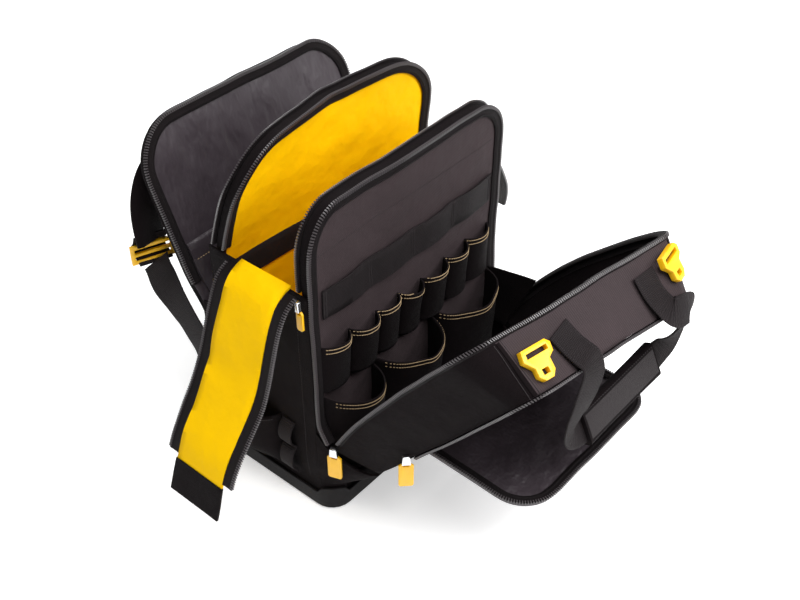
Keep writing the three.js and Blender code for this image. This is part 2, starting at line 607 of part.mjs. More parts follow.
// The middle compartment's top gusset is unzipped into two strips that hang outwards.
function makeStrips() {
  const total = STRIP_L + TAB_L;
  for (const [side, name, path] of [[-1, 'left', STRIP_PATH_LEFT], [1, 'right', STRIP_PATH_RIGHT]]) {
    const rootX = HALF_WALL + WALL_PUFF - CLOTH;
    const curve = new THREE.CatmullRomCurve3(path.map(({ out, drop, back }) => (
      V(side * (rootX + out * total), back * total, MIDDLE_WALL_H + STRIP_T + 2.4 - drop * total))));
    const piece = (from, to, y0, y1, steps) => {
      const grid = Array.from({ length: steps + 1 }, (_, i) => {
        const t = mix(from, to, i / steps);
        const p = curve.getPointAt(t);
        return [y0, y1].map((y) => V(p.x, p.y + y, p.z));
      });
      return cloth(grid, STRIP_T, side);
    };
    const [front, rear] = [STRIP_Y - STRIP_W / 2, STRIP_Y + STRIP_W / 2];
    const share = STRIP_L / total;
    const bodyFront = front + STRIP_TAPE;
    const bodyRear = rear - STRIP_TAPE;
    add(`${name}_gusset_strip`, piece(0, share, bodyFront, bodyRear, 14), YELLOW_CLOTH);
    add(`${name}_strip_front_zip`, piece(0.03, share - 0.02, front, bodyFront - GAP, 13), ZIP);
    add(`${name}_strip_rear_zip`, piece(0.03, share - 0.02, bodyRear + GAP, rear, 13), ZIP);
    add(`${name}_strip_tab`, piece(share + 0.002, 1, bodyFront - 1, bodyRear + 1, 3), WEBBING);
  }
}

// Shoulder pads hang down behind the back panel to ladder locks, webbing runs back to the body.
function makeShoulderStraps() {
  const rear = V(0, Math.cos(0.37), -Math.sin(0.37));
  for (const [side, name] of [[-1, 'left'], [1, 'right']]) {
    const behind = (x, length, off) => backPanelAt(side * x, length, -off);
    const near = BACK_PANEL_T / 2 + PAD_T / 2 + 0.7;
    const padPath = [
      behind(48, 0.9 * BACK_PANEL_L, near), behind(84, 0.9 * BACK_PANEL_L, near + 2),
      behind(112, 0.875 * BACK_PANEL_L, near + 4), V(side * 132, 188, 345),
      V(side * 146, 190, 318), V(side * 153.5, 189, 294), V(side * 157, 187, 272),
    ];
    const facing = (t) => rear.clone().lerp(V(side * 0.35, 0.93, 0), ease((t - 0.5) * 2));
    add(`${name}_shoulder_pad`, ribbon(padPath, facing, side * PAD_W, side * PAD_T, 18), BLACK_CLOTH);
    const webPath = [
      V(side * 158, 183, 242.8), V(side * 164, 168, 232), V(side * 170, 142, 217),
      V(side * 174, 116, 198), V(side * 173, 99, 172), V(side * 168, 92, 140), V(side * 166.9, 91, 104),
    ];
    const outward = (t) => V(side * 0.35, 0.6, 0.7).lerp(V(side, 0, 0), ease(t * 1.5)).normalize();
    add(`${name}_strap_webbing`, ribbon(webPath, outward, WEB_W + 8, WEB_T, 14), WEBBING);

    const lock = new THREE.Shape();
    const [lw, lh] = [(PAD_W - 4) / 2, 13];
    lock.moveTo(-lw, -lh).lineTo(lw, -lh).lineTo(lw, lh).lineTo(-lw, lh).closePath();
    for (const y of [-lh + 8, lh - 8]) {
      const hole = new THREE.Path();
      hole.moveTo(-lw + 5, y - 3).lineTo(-lw + 5, y + 3).lineTo(lw - 5, y + 3).lineTo(lw - 5, y - 3);
      hole.closePath();
      lock.holes.push(hole);
    }
    const geometry = new THREE.ExtrudeGeometry(lock, { depth: 5, bevelEnabled: false });
    add(`${name}_ladder_lock`, geometry, YELLOW_PLASTIC, (mesh) => {
      mesh.position.set(side * 156.5, 189, 256);
      mesh.rotation.set(Math.PI / 2, side * 0.36, 0, 'XYZ');
    });
  }
}

// The carry handle: webbing from the cover's top wall through a padded wrap.
function makeHandle() {
  const wallOut = V(0, -0.59, 0.81);
  const onTop = (x, w, off) => coverAt(x / (COVER_W / 2), 1, w).addScaledVector(wallOut, off);
  const [y, z, x0] = [-344, 209, -34];
  const [left, right] = [-58, 84];
  const end = x0 + GRIP_L;
  const path = [
    onTop(left, 0.34, 2.3), onTop(left + 1, 0.7, 2.9), onTop(left + 3, 1.06, 5),
    V(-58, y - 10, z + 60), V(-60, y - 4, z + 30), V(-54, y, z + 8), V(x0 - 5, y, z + 0.6), V(x0 + 26, y, z),
    V(x0 + GRIP_L / 2, y, z), V(end - 26, y, z), V(end + 6, y, z + 0.8), V(end + 24, y - 6, z + 16),
    V(end + 26, y - 16, z + 48), V(end + 12, y - 26, z + 82), onTop(right + 14, 1.04, 8),
    onTop(right + 3, 0.7, 3), onTop(right, 0.3, 2),
  ];
  const hang = V(0, -0.9, 0.44).normalize();
  const facing = (t) => {
    const up = Math.max(ease(1 - (t - 0.06) * 9), ease((t - 0.82) * 9));
    return hang.clone().lerp(wallOut, up).normalize();
  };
  add('carry_handle', ribbon(path, facing, WEB_W - 4, WEB_T, 36), WEBBING);

  const [w, h] = [GRIP_W / 2, GRIP_T / 2];
  const sleeve = new THREE.Shape();
  sleeve.moveTo(-w, -h + 4).lineTo(-w + 4, -h).lineTo(w - 4, -h).lineTo(w, -h + 4);
  sleeve.lineTo(w, h - 4).lineTo(w - 4, h).lineTo(-w + 4, h).lineTo(-w, h - 4).closePath();
  const slot = new THREE.Path();
  const [sw, sh] = [WEB_W / 2, 2];
  slot.moveTo(-sw, -sh).lineTo(-sw, sh).lineTo(sw, sh).lineTo(sw, -sh).closePath();
  sleeve.holes.push(slot);
  const geometry = new THREE.ExtrudeGeometry(sleeve, { depth: GRIP_L, bevelEnabled: false });
  add('handle_wrap', geometry, BLACK_CLOTH, (mesh) => {
    mesh.position.set(x0, y, z);
    const across = V(0, 0, 0).crossVectors(hang, V(1, 0, 0));
    mesh.quaternion.setFromRotationMatrix(new THREE.Matrix4().makeBasis(across, hang, V(1, 0, 0)));
  });
}

// Yellow moulded clips on the cover's top wall: a wide loop over a smaller hooked eye. The right
// one sits on the corner, so it has a turn round it.
function makeClips() {
  const shape = new THREE.Shape();
  shape.moveTo(-21, 7).lineTo(-18, 18).lineTo(16, 18).lineTo(21, 13).lineTo(19, 4);
  shape.lineTo(11, 0).lineTo(10, -12).lineTo(4, -18).lineTo(-7, -18).lineTo(-13, -12);
  shape.lineTo(-12, -3).closePath();
  const loop = new THREE.Path();
  loop.moveTo(-15, 8).lineTo(15, 8).lineTo(15, 13).lineTo(-14, 13).closePath();
  const eye = new THREE.Path();
  eye.moveTo(-6, -12.5).lineTo(3, -12.5).lineTo(3, -6.5).lineTo(-6, -6.5).closePath();
  shape.holes.push(loop, eye);
  const sites = [
    { name: 'left_clip', x: 54 - COVER_W / 2, place: 0.62, off: 0.8, turn: -0.15, round: 0 },
    { name: 'right_clip', x: COVER_W / 2 - 34, place: 0.42, off: 1.6, turn: 0.1, round: 0.16 },
  ];
  for (const { name, x, place, off, turn, round } of sites) {
    const geometry = new THREE.ExtrudeGeometry(shape, { depth: 7, bevelEnabled: false });
    add(name, geometry, YELLOW_PLASTIC, (mesh) => {
      const at = (w, v = 1) => coverAt(x / (COVER_W / 2), v, w);
      const down = V(0, 0, 0).subVectors(at(0.9), at(0.2)).normalize();
      const low = V(0, 0, 0).subVectors(at(place, 0.8), at(place, 1)).normalize();
      const along = V(Math.cos(round), 0, 0).addScaledVector(low, Math.sin(round)).normalize();
      const out = V(0, 0, 0).crossVectors(along, down.clone().negate()).normalize();
      const across = along.applyAxisAngle(out, turn);
      const up = V(0, 0, 0).crossVectors(out, across).normalize();
      mesh.quaternion.setFromRotationMatrix(new THREE.Matrix4().makeBasis(across, up, out));
      mesh.position.copy(at(place)).addScaledVector(out, off);
    });
  }
}

// Open-topped pockets and a column of webbing loops on both side walls.
function makeSidePockets() {
  const wallX = HALF_WALL + WALL_PUFF + GAP;
  for (const [side, name] of [[-1, 'left'], [1, 'right']]) {
    const grid = [0, 0.1, 0.3, 0.6, 1].map((v) => [0, 0.1, 0.3, 0.5, 0.7, 0.9, 1].map((u) => {
      const out = 30 * Math.sin(Math.PI * u) ** 0.6 * Math.sqrt(clamp(v * 3)) * mix(0.7, 1, v);
      return V(side * (wallX + out), mix(-22, 66, u), mix(42, 124, v));
    }));
    add(`${name}_side_pocket`, cloth(grid, THIN, side), BLACK_CLOTH);
    const loops = Array.from({ length: 13 }, (_, i) => {
      const z = mix(44, 124, i / 12);
      const x = wallX + 9 * Math.abs(Math.sin((i / 6) * Math.PI)) ** 0.7;
      return [-47, -27].map((y) => V(side * x, y, z));
    });
    add(`${name}_webbing_loops`, cloth(loops, THIN, side), WEBBING);
  }
}

// Zip sliders with hinged pulls: a slider stays put and its pull swings.
function makeSliders() {
  const body = (w, l, t) => {
    const shape = new THREE.Shape();
    shape.moveTo(-w / 2, -l / 2).lineTo(w / 2, -l / 2).lineTo(w * 0.36, l / 2).lineTo(-w * 0.36, l / 2);
    shape.closePath();
    return new THREE.ExtrudeGeometry(shape, { depth: t, bevelEnabled: false });
  };
  const plate = (w, l, t) => {
    const shape = new THREE.Shape();
    shape.moveTo(-w / 2, -l + 2).lineTo(-w / 2 + 2, -l).lineTo(w / 2 - 2, -l).lineTo(w / 2, -l + 2);
    shape.lineTo(w / 2, -3).lineTo(w / 4, 0).lineTo(-w / 4, 0).lineTo(-w / 2, -3).closePath();
    const hole = new THREE.Path();
    hole.moveTo(-w / 5, -4.4).lineTo(w / 5, -4.4).lineTo(w / 5, -2).lineTo(-w / 5, -2).closePath();
    shape.holes.push(hole);
    return new THREE.ExtrudeGeometry(shape, { depth: t, bevelEnabled: false });
  };
  const wallX = HALF_WALL + WALL_PUFF;
  const rightX = Math.max(wallX + 6.8, COVER_W / 2 + 10);
  const stripX = -Math.max(wallX, DIVIDER_W / 2 + ZIP_PROUD) - 5;
  const mainLeft = coverAt(-1, 0, 0).add(V(-1.6, -5, 4));
  const mainRight = coverAt(1, 0.1, 0);
  const pocket = coverAt(-1, POCKET_V + 0.03, 1).add(V(-6, 3.5, 3.1));
  const sites = [
    { name: 'main_left', at: mainLeft, turn: -1.22, w: PULL_W, l: PULL_L },
    { name: 'main_right', at: V(rightX, mainRight.y + 5, mainRight.z), turn: Math.PI / 2, w: PULL_W, l: PULL_L },
    { name: 'pocket', at: pocket, turn: -Math.PI / 4, w: PULL_W, l: PULL_L },
    { name: 'strip', at: V(stripX, STRIP_Y - STRIP_W / 2 - 3.4, MIDDLE_WALL_H - 7), turn: -Math.PI / 2, w: 9, l: 26 },
  ];
  for (const { name, at, turn, w, l } of sites) {
    add(`${name}_slider`, body(w * 0.62, SLIDER_L, 6), STEEL, (mesh) => {
      mesh.position.copy(at);
      mesh.rotation.set(Math.PI / 2, 0, turn, 'ZYX');
    });
    add(`${name}_pull`, plate(w, l, PULL_T), YELLOW_PLASTIC, (mesh) => {
      mesh.position.copy(at).add(V(0, 0, -SLIDER_L / 2 - PULL_GAP));
      mesh.rotation.set(Math.PI / 2, 0, turn, 'ZYX');
    });
  }
}

makeBase();
makeWalls();
makeCheek();
makePanels();
makeOrganiser();
makeCover();
makeFlap();
makeStrips();
makeShoulderStraps();
makeHandle();
makeClips();
makeSidePockets();
makeSliders();

export default bag;
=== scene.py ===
"""A tool backpack standing wide open on its moulded base, dressed for rendering.

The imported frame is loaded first, in metres with +Z up and -Y to the front. Cloth pieces are refined
copies of the frame's soft solids, bent by one shared field of small folds so that neighbours stay
together. Tapes, webbing and pads are swept along the section rings of their solids.
"""

import math

import bmesh
import bpy
import numpy as np
from mathutils import Matrix, Vector, noise
from mathutils.bvhtree import BVHTree


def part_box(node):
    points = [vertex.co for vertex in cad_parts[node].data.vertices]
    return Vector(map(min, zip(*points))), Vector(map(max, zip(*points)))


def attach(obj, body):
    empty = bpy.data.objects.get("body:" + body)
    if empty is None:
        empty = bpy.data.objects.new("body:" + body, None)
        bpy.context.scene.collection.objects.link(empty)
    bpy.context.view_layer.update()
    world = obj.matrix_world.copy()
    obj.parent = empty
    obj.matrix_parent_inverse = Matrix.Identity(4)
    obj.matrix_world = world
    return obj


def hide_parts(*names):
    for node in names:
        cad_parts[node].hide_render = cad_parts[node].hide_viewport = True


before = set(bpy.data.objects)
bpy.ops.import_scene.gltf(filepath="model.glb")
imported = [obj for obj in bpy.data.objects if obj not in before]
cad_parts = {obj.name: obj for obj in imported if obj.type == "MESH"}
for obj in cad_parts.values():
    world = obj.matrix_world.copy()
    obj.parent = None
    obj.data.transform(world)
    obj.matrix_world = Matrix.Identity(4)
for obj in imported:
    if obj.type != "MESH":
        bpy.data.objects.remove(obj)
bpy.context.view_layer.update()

bl_info = {
    "name": "Open Tool Backpack",
    "version": (1, 0, 0),
    "blender": (4, 5, 0),
    "location": "View3D > Sidebar > Backpack",
    "description": "Dresses the frame of an open tool backpack with cloth, zips, webbing and plastic",
    "category": "Object",
}

MM = 0.001
TAU = math.tau
BAG = "bag"

# Camera: where it stands, the direction it looks in and how long its lens is
CAMERA_PLACE = Vector((-0.8058, -0.7456, 1.0830))
CAMERA_AZIMUTH = math.radians(-49.82)
CAMERA_ELEVATION = math.radians(39.49)
CAMERA_LENS = 51.96

# Heights between which the folds of the cloth grow from nothing to their full depth
STIFF_BELOW = 0.040
LOOSE_ABOVE = 0.120

# The folds are drawn from this seed, so that they come out alike each time
FOLD_SEED = 11


def colour_setting(title, what, value):
    """A colour that a user can change."""
    return bpy.props.FloatVectorProperty(
        name=title, description=what, default=value, size=4, subtype="COLOR", min=0, max=1)


def length_setting(title, what, value):
    """A length in metres that a user can change."""
    return bpy.props.FloatProperty(
        name=title, description=what, default=value, subtype="DISTANCE", unit="LENGTH", min=0)


class BackpackSettings(bpy.types.PropertyGroup):
    """Sizes and colours that a user would change."""

    cloth: colour_setting("Outer cloth", "Colour of the coarse outer cloth", (0.0058, 0.0038, 0.0043, 1))
    twill: colour_setting("Divider cloth", "Colour of the front divider's ribbed cloth",
                          (0.041, 0.0285, 0.031, 1))
    lining: colour_setting("Lining", "Colour of the smooth dark lining", (0.040, 0.030, 0.0365, 1))
    yellow: colour_setting("Yellow cloth", "Colour of the middle compartment's lining",
                           (0.95, 0.56, 0.001, 1))
    webbing: colour_setting("Webbing", "Colour of straps and tapes", (0.0105, 0.0078, 0.0085, 1))
    teeth: colour_setting("Zip teeth", "Colour of the moulded zip teeth", (0.060, 0.052, 0.055, 1))
    plastic: colour_setting("Yellow plastic", "Colour of clips, locks and pulls", (0.93, 0.50, 0.0, 1))
    steel: colour_setting("Sliders", "Colour of the zip sliders", (0.72, 0.72, 0.74, 1))
    rubber: colour_setting("Base", "Colour of the moulded base", (0.011, 0.0095, 0.0100, 1))
    thread: colour_setting("Light thread", "Colour of the light stitching", (0.42, 0.30, 0.17, 1))
    tooth_pitch: length_setting("Tooth pitch", "Distance from one zip tooth to the next", 2.8 * MM)
    stitch: length_setting("Stitch", "Length of one stitch", 2.6 * MM)
    fold: length_setting("Folds", "Depth of the cloth's broad folds", 2.6 * MM)
    weave: length_setting("Weave", "Distance between the outer cloth's threads", 1.3 * MM)


# Shader sockets and finishes

class Wire:
    """A shader value on which sums are written as Python expressions."""

    def __init__(self, tree, socket):
        self.tree = tree
        self.socket = socket

    def sum(self, operation, *values):
        node = self.tree.nodes.new("ShaderNodeMath")
        node.operation = operation
        for place, value in enumerate(values):
            connect(self.tree, value, node.inputs[place])
        return Wire(self.tree, node.outputs[0])

    def __add__(self, other):
        return self.sum("ADD", self, other)

    def __sub__(self, other):
        return self.sum("SUBTRACT", self, other)

    def __mul__(self, other):
        return self.sum("MULTIPLY", self, other)

    __radd__ = __add__
    __rmul__ = __mul__

    def sine(self):
        return self.sum("SINE", self)


def connect(tree, value, socket):
    """Sets a socket to a number, or links it to a wire."""
    if isinstance(value, Wire):
        tree.links.new(value.socket, socket)
    else:
        socket.default_value = value


class Finish:
    """One material, its nodes added in the order in which they are asked for."""

    def __init__(self, name, colour, roughness, **sockets):
        self.material = bpy.data.materials.new(name)
        self.material.use_nodes = True
        self.tree = self.material.node_tree
        self.shader = self.tree.nodes["Principled BSDF"]
        self.shader.inputs["Base Color"].default_value = colour
        self.shader.inputs["Roughness"].default_value = roughness
        for title, value in sockets.items():
            self.shader.inputs[title.replace("_", " ").title()].default_value = value

    def node(self, kind, inputs=None, output=0, **settings):
        """A node of any kind: its settings first, then its inputs by name or place."""
        node = self.tree.nodes.new(kind)
        for title, value in settings.items():
            setattr(node, title, value)
        for title, value in (inputs or {}).items():
            connect(self.tree, value, node.inputs[title])
        return Wire(self.tree, node.outputs[output])

    def along(self):
        """The two lengths along the cloth, in metres, from the piece's own map."""
        place = self.node("ShaderNodeUVMap", uv_map="cloth")
        axes = self.tree.nodes.new("ShaderNodeSeparateXYZ")
        self.tree.links.new(place.socket, axes.inputs[0])
        return Wire(self.tree, axes.outputs[0]), Wire(self.tree, axes.outputs[1])

    def cloud(self, scale, detail=3.0, stretch=(1, 1, 1)):
        """Soft noise over the object, from 0 to 1."""
        place = self.node("ShaderNodeTexCoord", output=3)
        turned = self.node("ShaderNodeMapping", {"Vector": place, "Scale": stretch})
        return self.node("ShaderNodeTexNoise", {"Vector": turned, "Scale": scale, "Detail": detail})

    def tint(self, amount, dark, light):
        """Base colour from a dark to a light tone by amount."""
        mixed = self.node("ShaderNodeMix", {0: amount, 6: dark, 7: light}, output=2, data_type="RGBA")
        connect(self.tree, mixed, self.shader.inputs["Base Color"])

    def bump(self, height, depth, before=None):
        """Relief of the given depth in metres, over an earlier relief."""
        inputs = {"Height": height, "Distance": depth, "Strength": 1.0}
        if before:
            inputs["Normal"] = before
        relief = self.node("ShaderNodeBump", inputs)
        connect(self.tree, relief, self.shader.inputs["Normal"])
        return relief

    def rough(self, value):
        connect(self.tree, value, self.shader.inputs["Roughness"])


def toned(colour, factor):
    """A colour made darker or lighter."""
    return tuple(min(1.0, part * factor) for part in colour[:3]) + (1.0,)


def cloth_finish(name, colour, roughness, pitch, depth, sheen=0.02, slant=0.0, crease=0.0008,
                 stretch=(1, 1, 1), tones=(0.72, 1.5), gloss=0.04):
    """Woven cloth: crossing threads, or slanting ribs where slant is not 0, over soft creases."""
    finish = Finish(name, colour, roughness, sheen_weight=sheen, sheen_roughness=0.5)
    finish.shader.inputs["Specular IOR Level"].default_value = gloss
    u, v = finish.along()
    turns = TAU / pitch
    if slant:
        threads = ((u + v * slant) * turns).sine() * 0.7 + (v * (turns * 2)).sine() * 0.3
    else:
        threads = (u * turns).sine() * (v * turns).sine()
    shade = finish.cloud(24, 4)
    fine = finish.cloud(900, 2)
    finish.tint(shade * 0.45 + threads * 0.16 + fine * 0.3, toned(colour, tones[0]), toned(colour, tones[1]))
    finish.rough(roughness - 0.1 + shade * 0.2)
    soft = finish.bump(finish.cloud(30, 3, stretch), crease * 4)
    finish.bump(threads * 0.5 + fine * 0.5, depth, soft)
    return finish.material


def webbing_finish(name, colour, rib=1.9 * MM):
    """Ribbed webbing: close ribs across, with thread lines along."""
    finish = Finish(name, colour, 0.7)
    finish.shader.inputs["Specular IOR Level"].default_value = 0.15
    u, v = finish.along()
    ribs = ((v * (TAU / rib)) + (u * (TAU / (6 * MM))).sine() * 0.8).sine()
    threads = (u * (TAU / (1.5 * MM))).sine()
    shade = finish.cloud(40, 3)
    finish.tint(shade * 0.5 + ribs * 0.25 + 0.15, toned(colour, 0.6), toned(colour, 2.1))
    finish.bump(ribs * 0.65 + threads * 0.25, 0.45 * MM)
    return finish.material


def plastic_finish(name, colour, roughness=0.42, grain=0.12 * MM, coat=0.15, gloss=0.5):
    """Moulded plastic with a faint grain and a little wear."""
    finish = Finish(name, colour, roughness, coat_weight=coat, coat_roughness=0.3)
    finish.shader.inputs["Specular IOR Level"].default_value = gloss
    grains = finish.cloud(1400, 2)
    shade = finish.cloud(60, 4)
    finish.tint(shade, toned(colour, 0.86), toned(colour, 1.1))
    finish.rough(roughness - 0.06 + shade * 0.14)
    finish.bump(grains, grain)
    return finish.material


def metal_finish(name, colour):
    """Bright plated metal with fine scratches."""
    finish = Finish(name, colour, 0.2, metallic=1.0)
    marks = finish.cloud(500, 4, (1, 1, 0.1))
    finish.rough(0.14 + marks * 0.2)
    finish.bump(marks, 0.03 * MM)
    return finish.material


def fuzzy_finish(name, colour):
    """Hook and loop cloth: a short mat of loops."""
    finish = Finish(name, colour, 0.95, sheen_weight=0.08, sheen_roughness=0.6)
    finish.shader.inputs["Specular IOR Level"].default_value = 0.2
    loops = finish.cloud(1100, 4)
    finish.tint(loops, toned(colour, 0.5), toned(colour, 2.6))
    finish.bump(loops, 0.9 * MM)
    return finish.material


FINISHES = {}


def make_finishes(look):
    """All finishes of the bag, by name."""
    FINISHES.update({
        "cloth": cloth_finish("outer_cloth", look.cloth, 0.74, look.weave, 0.35 * MM),
        "twill": cloth_finish("divider_twill", look.twill, 0.8, 2.0 * MM, 0.3 * MM, slant=0.55,
                              tones=(0.7, 1.4), gloss=0.15),
        "rib": cloth_finish("cover_twill", look.twill, 0.78, 2.6 * MM, 0.4 * MM, slant=0.02,
                            tones=(0.5, 1.4), gloss=0.2),
        "lining": cloth_finish("satin_lining", look.lining, 0.42, 1.0 * MM, 0.08 * MM, sheen=0.06,
                               crease=0.0022, stretch=(1, 1, 0.28), tones=(0.6, 1.3), gloss=0.4),
        "yellow": cloth_finish("yellow_lining", look.yellow, 0.62, 1.1 * MM, 0.12 * MM, sheen=0.0,
                               crease=0.0009, tones=(0.9, 1.06)),
        "webbing": webbing_finish("ribbed_webbing", look.webbing),
        "tape": webbing_finish("zip_tape_weave", look.cloth, 1.2 * MM),
        "teeth": plastic_finish("moulded_teeth", look.teeth, 0.34, 0.02 * MM, 0.3),
        "plastic": plastic_finish("yellow_plastic", look.plastic),
        "rubber": plastic_finish("moulded_base_rubber", look.rubber, 0.6, 0.35 * MM, 0.0, 0.15),
        "steel": metal_finish("plated_slider", look.steel),
        "fuzzy": fuzzy_finish("hook_and_loop", look.webbing),
        "thread": plastic_finish("light_thread", look.thread, 0.8, 0.05 * MM, 0.0, 0.2),
        "dark_thread": plastic_finish("dark_thread", toned(look.cloth, 2.2), 0.75, 0.05 * MM, 0.0),
    })


# Shapes

def folds(place, depth):
    """How far the cloth is pushed at a place by the bag's broad folds."""
    rise = (place.z - STIFF_BELOW) / (LOOSE_ABOVE - STIFF_BELOW)
    rise = min(1.0, max(0.0, rise))
    rise = rise * rise * (3 - 2 * rise)
    push = noise.noise_vector(place * 9.0 + Vector((3.1, 7.7, 1.3)))
    small = noise.noise_vector(place * 26.0 + Vector((5.9, 0.7, 8.1)))
    return (push + small * 0.3) * depth * rise


def crumple(mesh, depth):
    """Moves every point of a mesh by the bag's folds."""
    for point in mesh.vertices:
        point.co += folds(point.co.copy(), depth)


def lay_map(mesh):
    """A map of the cloth in metres, laid square on by each face's main direction."""
    layer = mesh.uv_layers.get("cloth") or mesh.uv_layers.new(name="cloth")
    for face in mesh.polygons:
        normal = [abs(part) for part in face.normal]
        skip = normal.index(max(normal))
        a, b = [axis for axis in range(3) if axis != skip]
        for corner in face.loop_indices:
            place = mesh.vertices[mesh.loops[corner].vertex_index].co
            layer.data[corner].uv = (place[a], place[b])


def select_only(piece):
    """Makes one piece the only selected and active one."""
    bpy.ops.object.select_all(action="DESELECT")
    piece.select_set(True)
    bpy.context.view_layer.objects.active = piece


def finished(piece, finish, nodes=(), body=BAG):
    """Gives a piece its finish, hangs it under its body and hides the frame nodes it replaces."""
    piece.data.materials.clear()
    piece.data.materials.append(FINISHES[finish])
    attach(piece, body)
    if nodes:
        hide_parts(*nodes)
    return piece


def new_piece(name, points, faces):
    """A mesh object at the origin."""
    mesh = bpy.data.meshes.new(name)
    mesh.from_pydata([tuple(point) for point in points], [], faces)
    mesh.update()
    piece = bpy.data.objects.new(name, mesh)
    bpy.context.scene.collection.objects.link(piece)
    return piece


def node_shape(node):
    """A copy of a frame node's mesh, its doubled points merged."""
    shape = bmesh.new()
    shape.from_mesh(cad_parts[node].data)
    bmesh.ops.remove_doubles(shape, verts=shape.verts, dist=1e-6)
    return shape


def keep_in_place(piece):
    """Shifts the corners of a subdivided piece until its smooth surface passes through where they were."""
    count = len(piece.data.vertices)
    targets = np.empty(count * 3)
    piece.data.vertices.foreach_get("co", targets)
    corners = targets.copy()
    for _ in range(4):
        view = bpy.context.evaluated_depsgraph_get()
        smooth = piece.evaluated_get(view).to_mesh()
        reached = np.empty(len(smooth.vertices) * 3)
        smooth.vertices.foreach_get("co", reached)
        piece.evaluated_get(view).to_mesh_clear()
        corners += (targets - reached[:count * 3]) * 0.8
        piece.data.vertices.foreach_set("co", corners)
        piece.data.update()


def dress(node, name, finish, levels=2, sharp=50, hold=1.0, depth=None, body=BAG, bulge=None):
    """A refined copy of a soft node: quads, held edges, subdivided, then bent by the folds."""
    look = bpy.context.scene.tool_backpack
    shape = node_shape(node)
    bmesh.ops.join_triangles(shape, faces=shape.faces, angle_face_threshold=math.radians(35),
                             angle_shape_threshold=math.radians(50))
    layer = shape.edges.layers.float.get("crease_edge") or shape.edges.layers.float.new("crease_edge")
    for edge in shape.edges:
        if len(edge.link_faces) == 2 and edge.calc_face_angle(0) > math.radians(sharp):
            edge[layer] = hold
    mesh = bpy.data.meshes.new(name)
    shape.to_mesh(mesh)
    shape.free()
    piece = bpy.data.objects.new(name, mesh)
    bpy.context.scene.collection.objects.link(piece)
    select_only(piece)
    smooth = piece.modifiers.new("finer", "SUBSURF")
    smooth.levels = smooth.render_levels = levels
    if hold == 1.0:
        keep_in_place(piece)
    bpy.ops.object.modifier_apply(modifier=smooth.name)
    if bulge:
        normals = np.empty(len(piece.data.vertices) * 3)
        piece.data.vertex_normals.foreach_get("vector", normals)
        for point, normal in zip(piece.data.vertices, normals.reshape(-1, 3)):
            point.co += bulge(point.co.copy(), Vector(normal))
    crumple(piece.data, look.fold if depth is None else depth)
    lay_map(piece.data)
    select_only(piece)
    bpy.ops.object.shade_smooth_by_angle(angle=math.radians(45))
    return finished(piece, finish, (node,), body)


def patch(piece, finish, belongs):
    """Gives the faces of a piece for which belongs(centre, normal) holds another finish."""
    piece.data.materials.append(FINISHES[finish])
    for face in piece.data.polygons:
        if belongs(face.center, face.normal):
            face.material_index = len(piece.data.materials) - 1


def hard(node, name, finish, width, segments=2, body=BAG):
    """A bevelled copy of a hard node."""
    shape = node_shape(node)
    bmesh.ops.dissolve_limit(shape, angle_limit=math.radians(1), verts=shape.verts, edges=shape.edges)
    mesh = bpy.data.meshes.new(name)
    shape.to_mesh(mesh)
    shape.free()
    piece = bpy.data.objects.new(name, mesh)
    bpy.context.scene.collection.objects.link(piece)
    select_only(piece)
    soft = piece.modifiers.new("edges", "BEVEL")
    soft.width = width
    soft.segments = segments
    soft.limit_method = "ANGLE"
    soft.angle_limit = math.radians(25)
    soft.harden_normals = False
    bpy.ops.object.modifier_apply(modifier=soft.name)
    lay_map(piece.data)
    bpy.ops.object.shade_smooth_by_angle(angle=math.radians(40))
    return finished(piece, finish, (node,), body)


class Path:
    """Places along a strap or tape, each with its centre, its direction across and its face."""

    def __init__(self, centres, acrosses, faces, half, thick=0.0):
        self.centres = centres
        self.acrosses = acrosses
        self.faces = faces
        self.half = half
        self.thick = thick

    def finer(self, spacing, depth):
        """Evenly spaced places on a smooth curve through the old ones, bent by the folds."""
        count = len(self.centres)
        table = [0.0]
        for a, b in zip(self.centres, self.centres[1:]):
            table.append(table[-1] + (b - a).length)
        steps = max(2, round(table[-1] / spacing))
        curve = np.array([tuple(c) + tuple(a) + tuple(f)
                          for c, a, f in zip(self.centres, self.acrosses, self.faces)])
        centres, acrosses, faces = [], [], []
        for step in range(steps + 1):
            along = table[-1] * step / steps
            i = min(count - 2, max(0, int(np.searchsorted(table, along, side="right")) - 1))
            span = table[i + 1] - table[i]
            t = (along - table[i]) / span if span else 0.0
            p0, p1, p2, p3 = (curve[max(0, i - 1)], curve[i], curve[i + 1], curve[min(count - 1, i + 2)])
            value = 0.5 * (2 * p1 + (p2 - p0) * t + (2 * p0 - 5 * p1 + 4 * p2 - p3) * t * t
                           + (3 * p1 - p0 - 3 * p2 + p3) * t ** 3)
            centre = Vector(value[0:3])
            centres.append(centre + folds(centre, depth))
            acrosses.append(Vector(value[3:6]).normalized())
            faces.append(Vector(value[6:9]).normalized())
        return Path(centres, acrosses, faces, self.half, self.thick)

    def length(self):
        return sum((b - a).length for a, b in zip(self.centres, self.centres[1:]))

    def at(self, i, across, up):
        return self.centres[i] + self.acrosses[i] * across + self.faces[i] * up


def first_section(shape, start):
    """The four corners of the end section nearest to start."""
    ends = [point for point in shape.verts if len(point.link_edges) < 6]
    if len(ends) != 8:
        ends = list(shape.verts)
    return sorted(ends, key=lambda point: (point.co - start).length)[:4]


def ordered_section(corners, across, face):
    """Four corners put in order: low outer edge second, as across and face say."""
    a = corners[0]
    partner, b, c = sorted(corners[1:], key=lambda point: (point - a).length)
    pairs = [sorted(pair, key=lambda point: point.dot(face)) for pair in ((a, partner), (b, c))]
    inner, outer = sorted(pairs, key=lambda pair: (pair[0] + pair[1]).dot(across))
    return [inner[0], outer[0], outer[1], inner[1]]


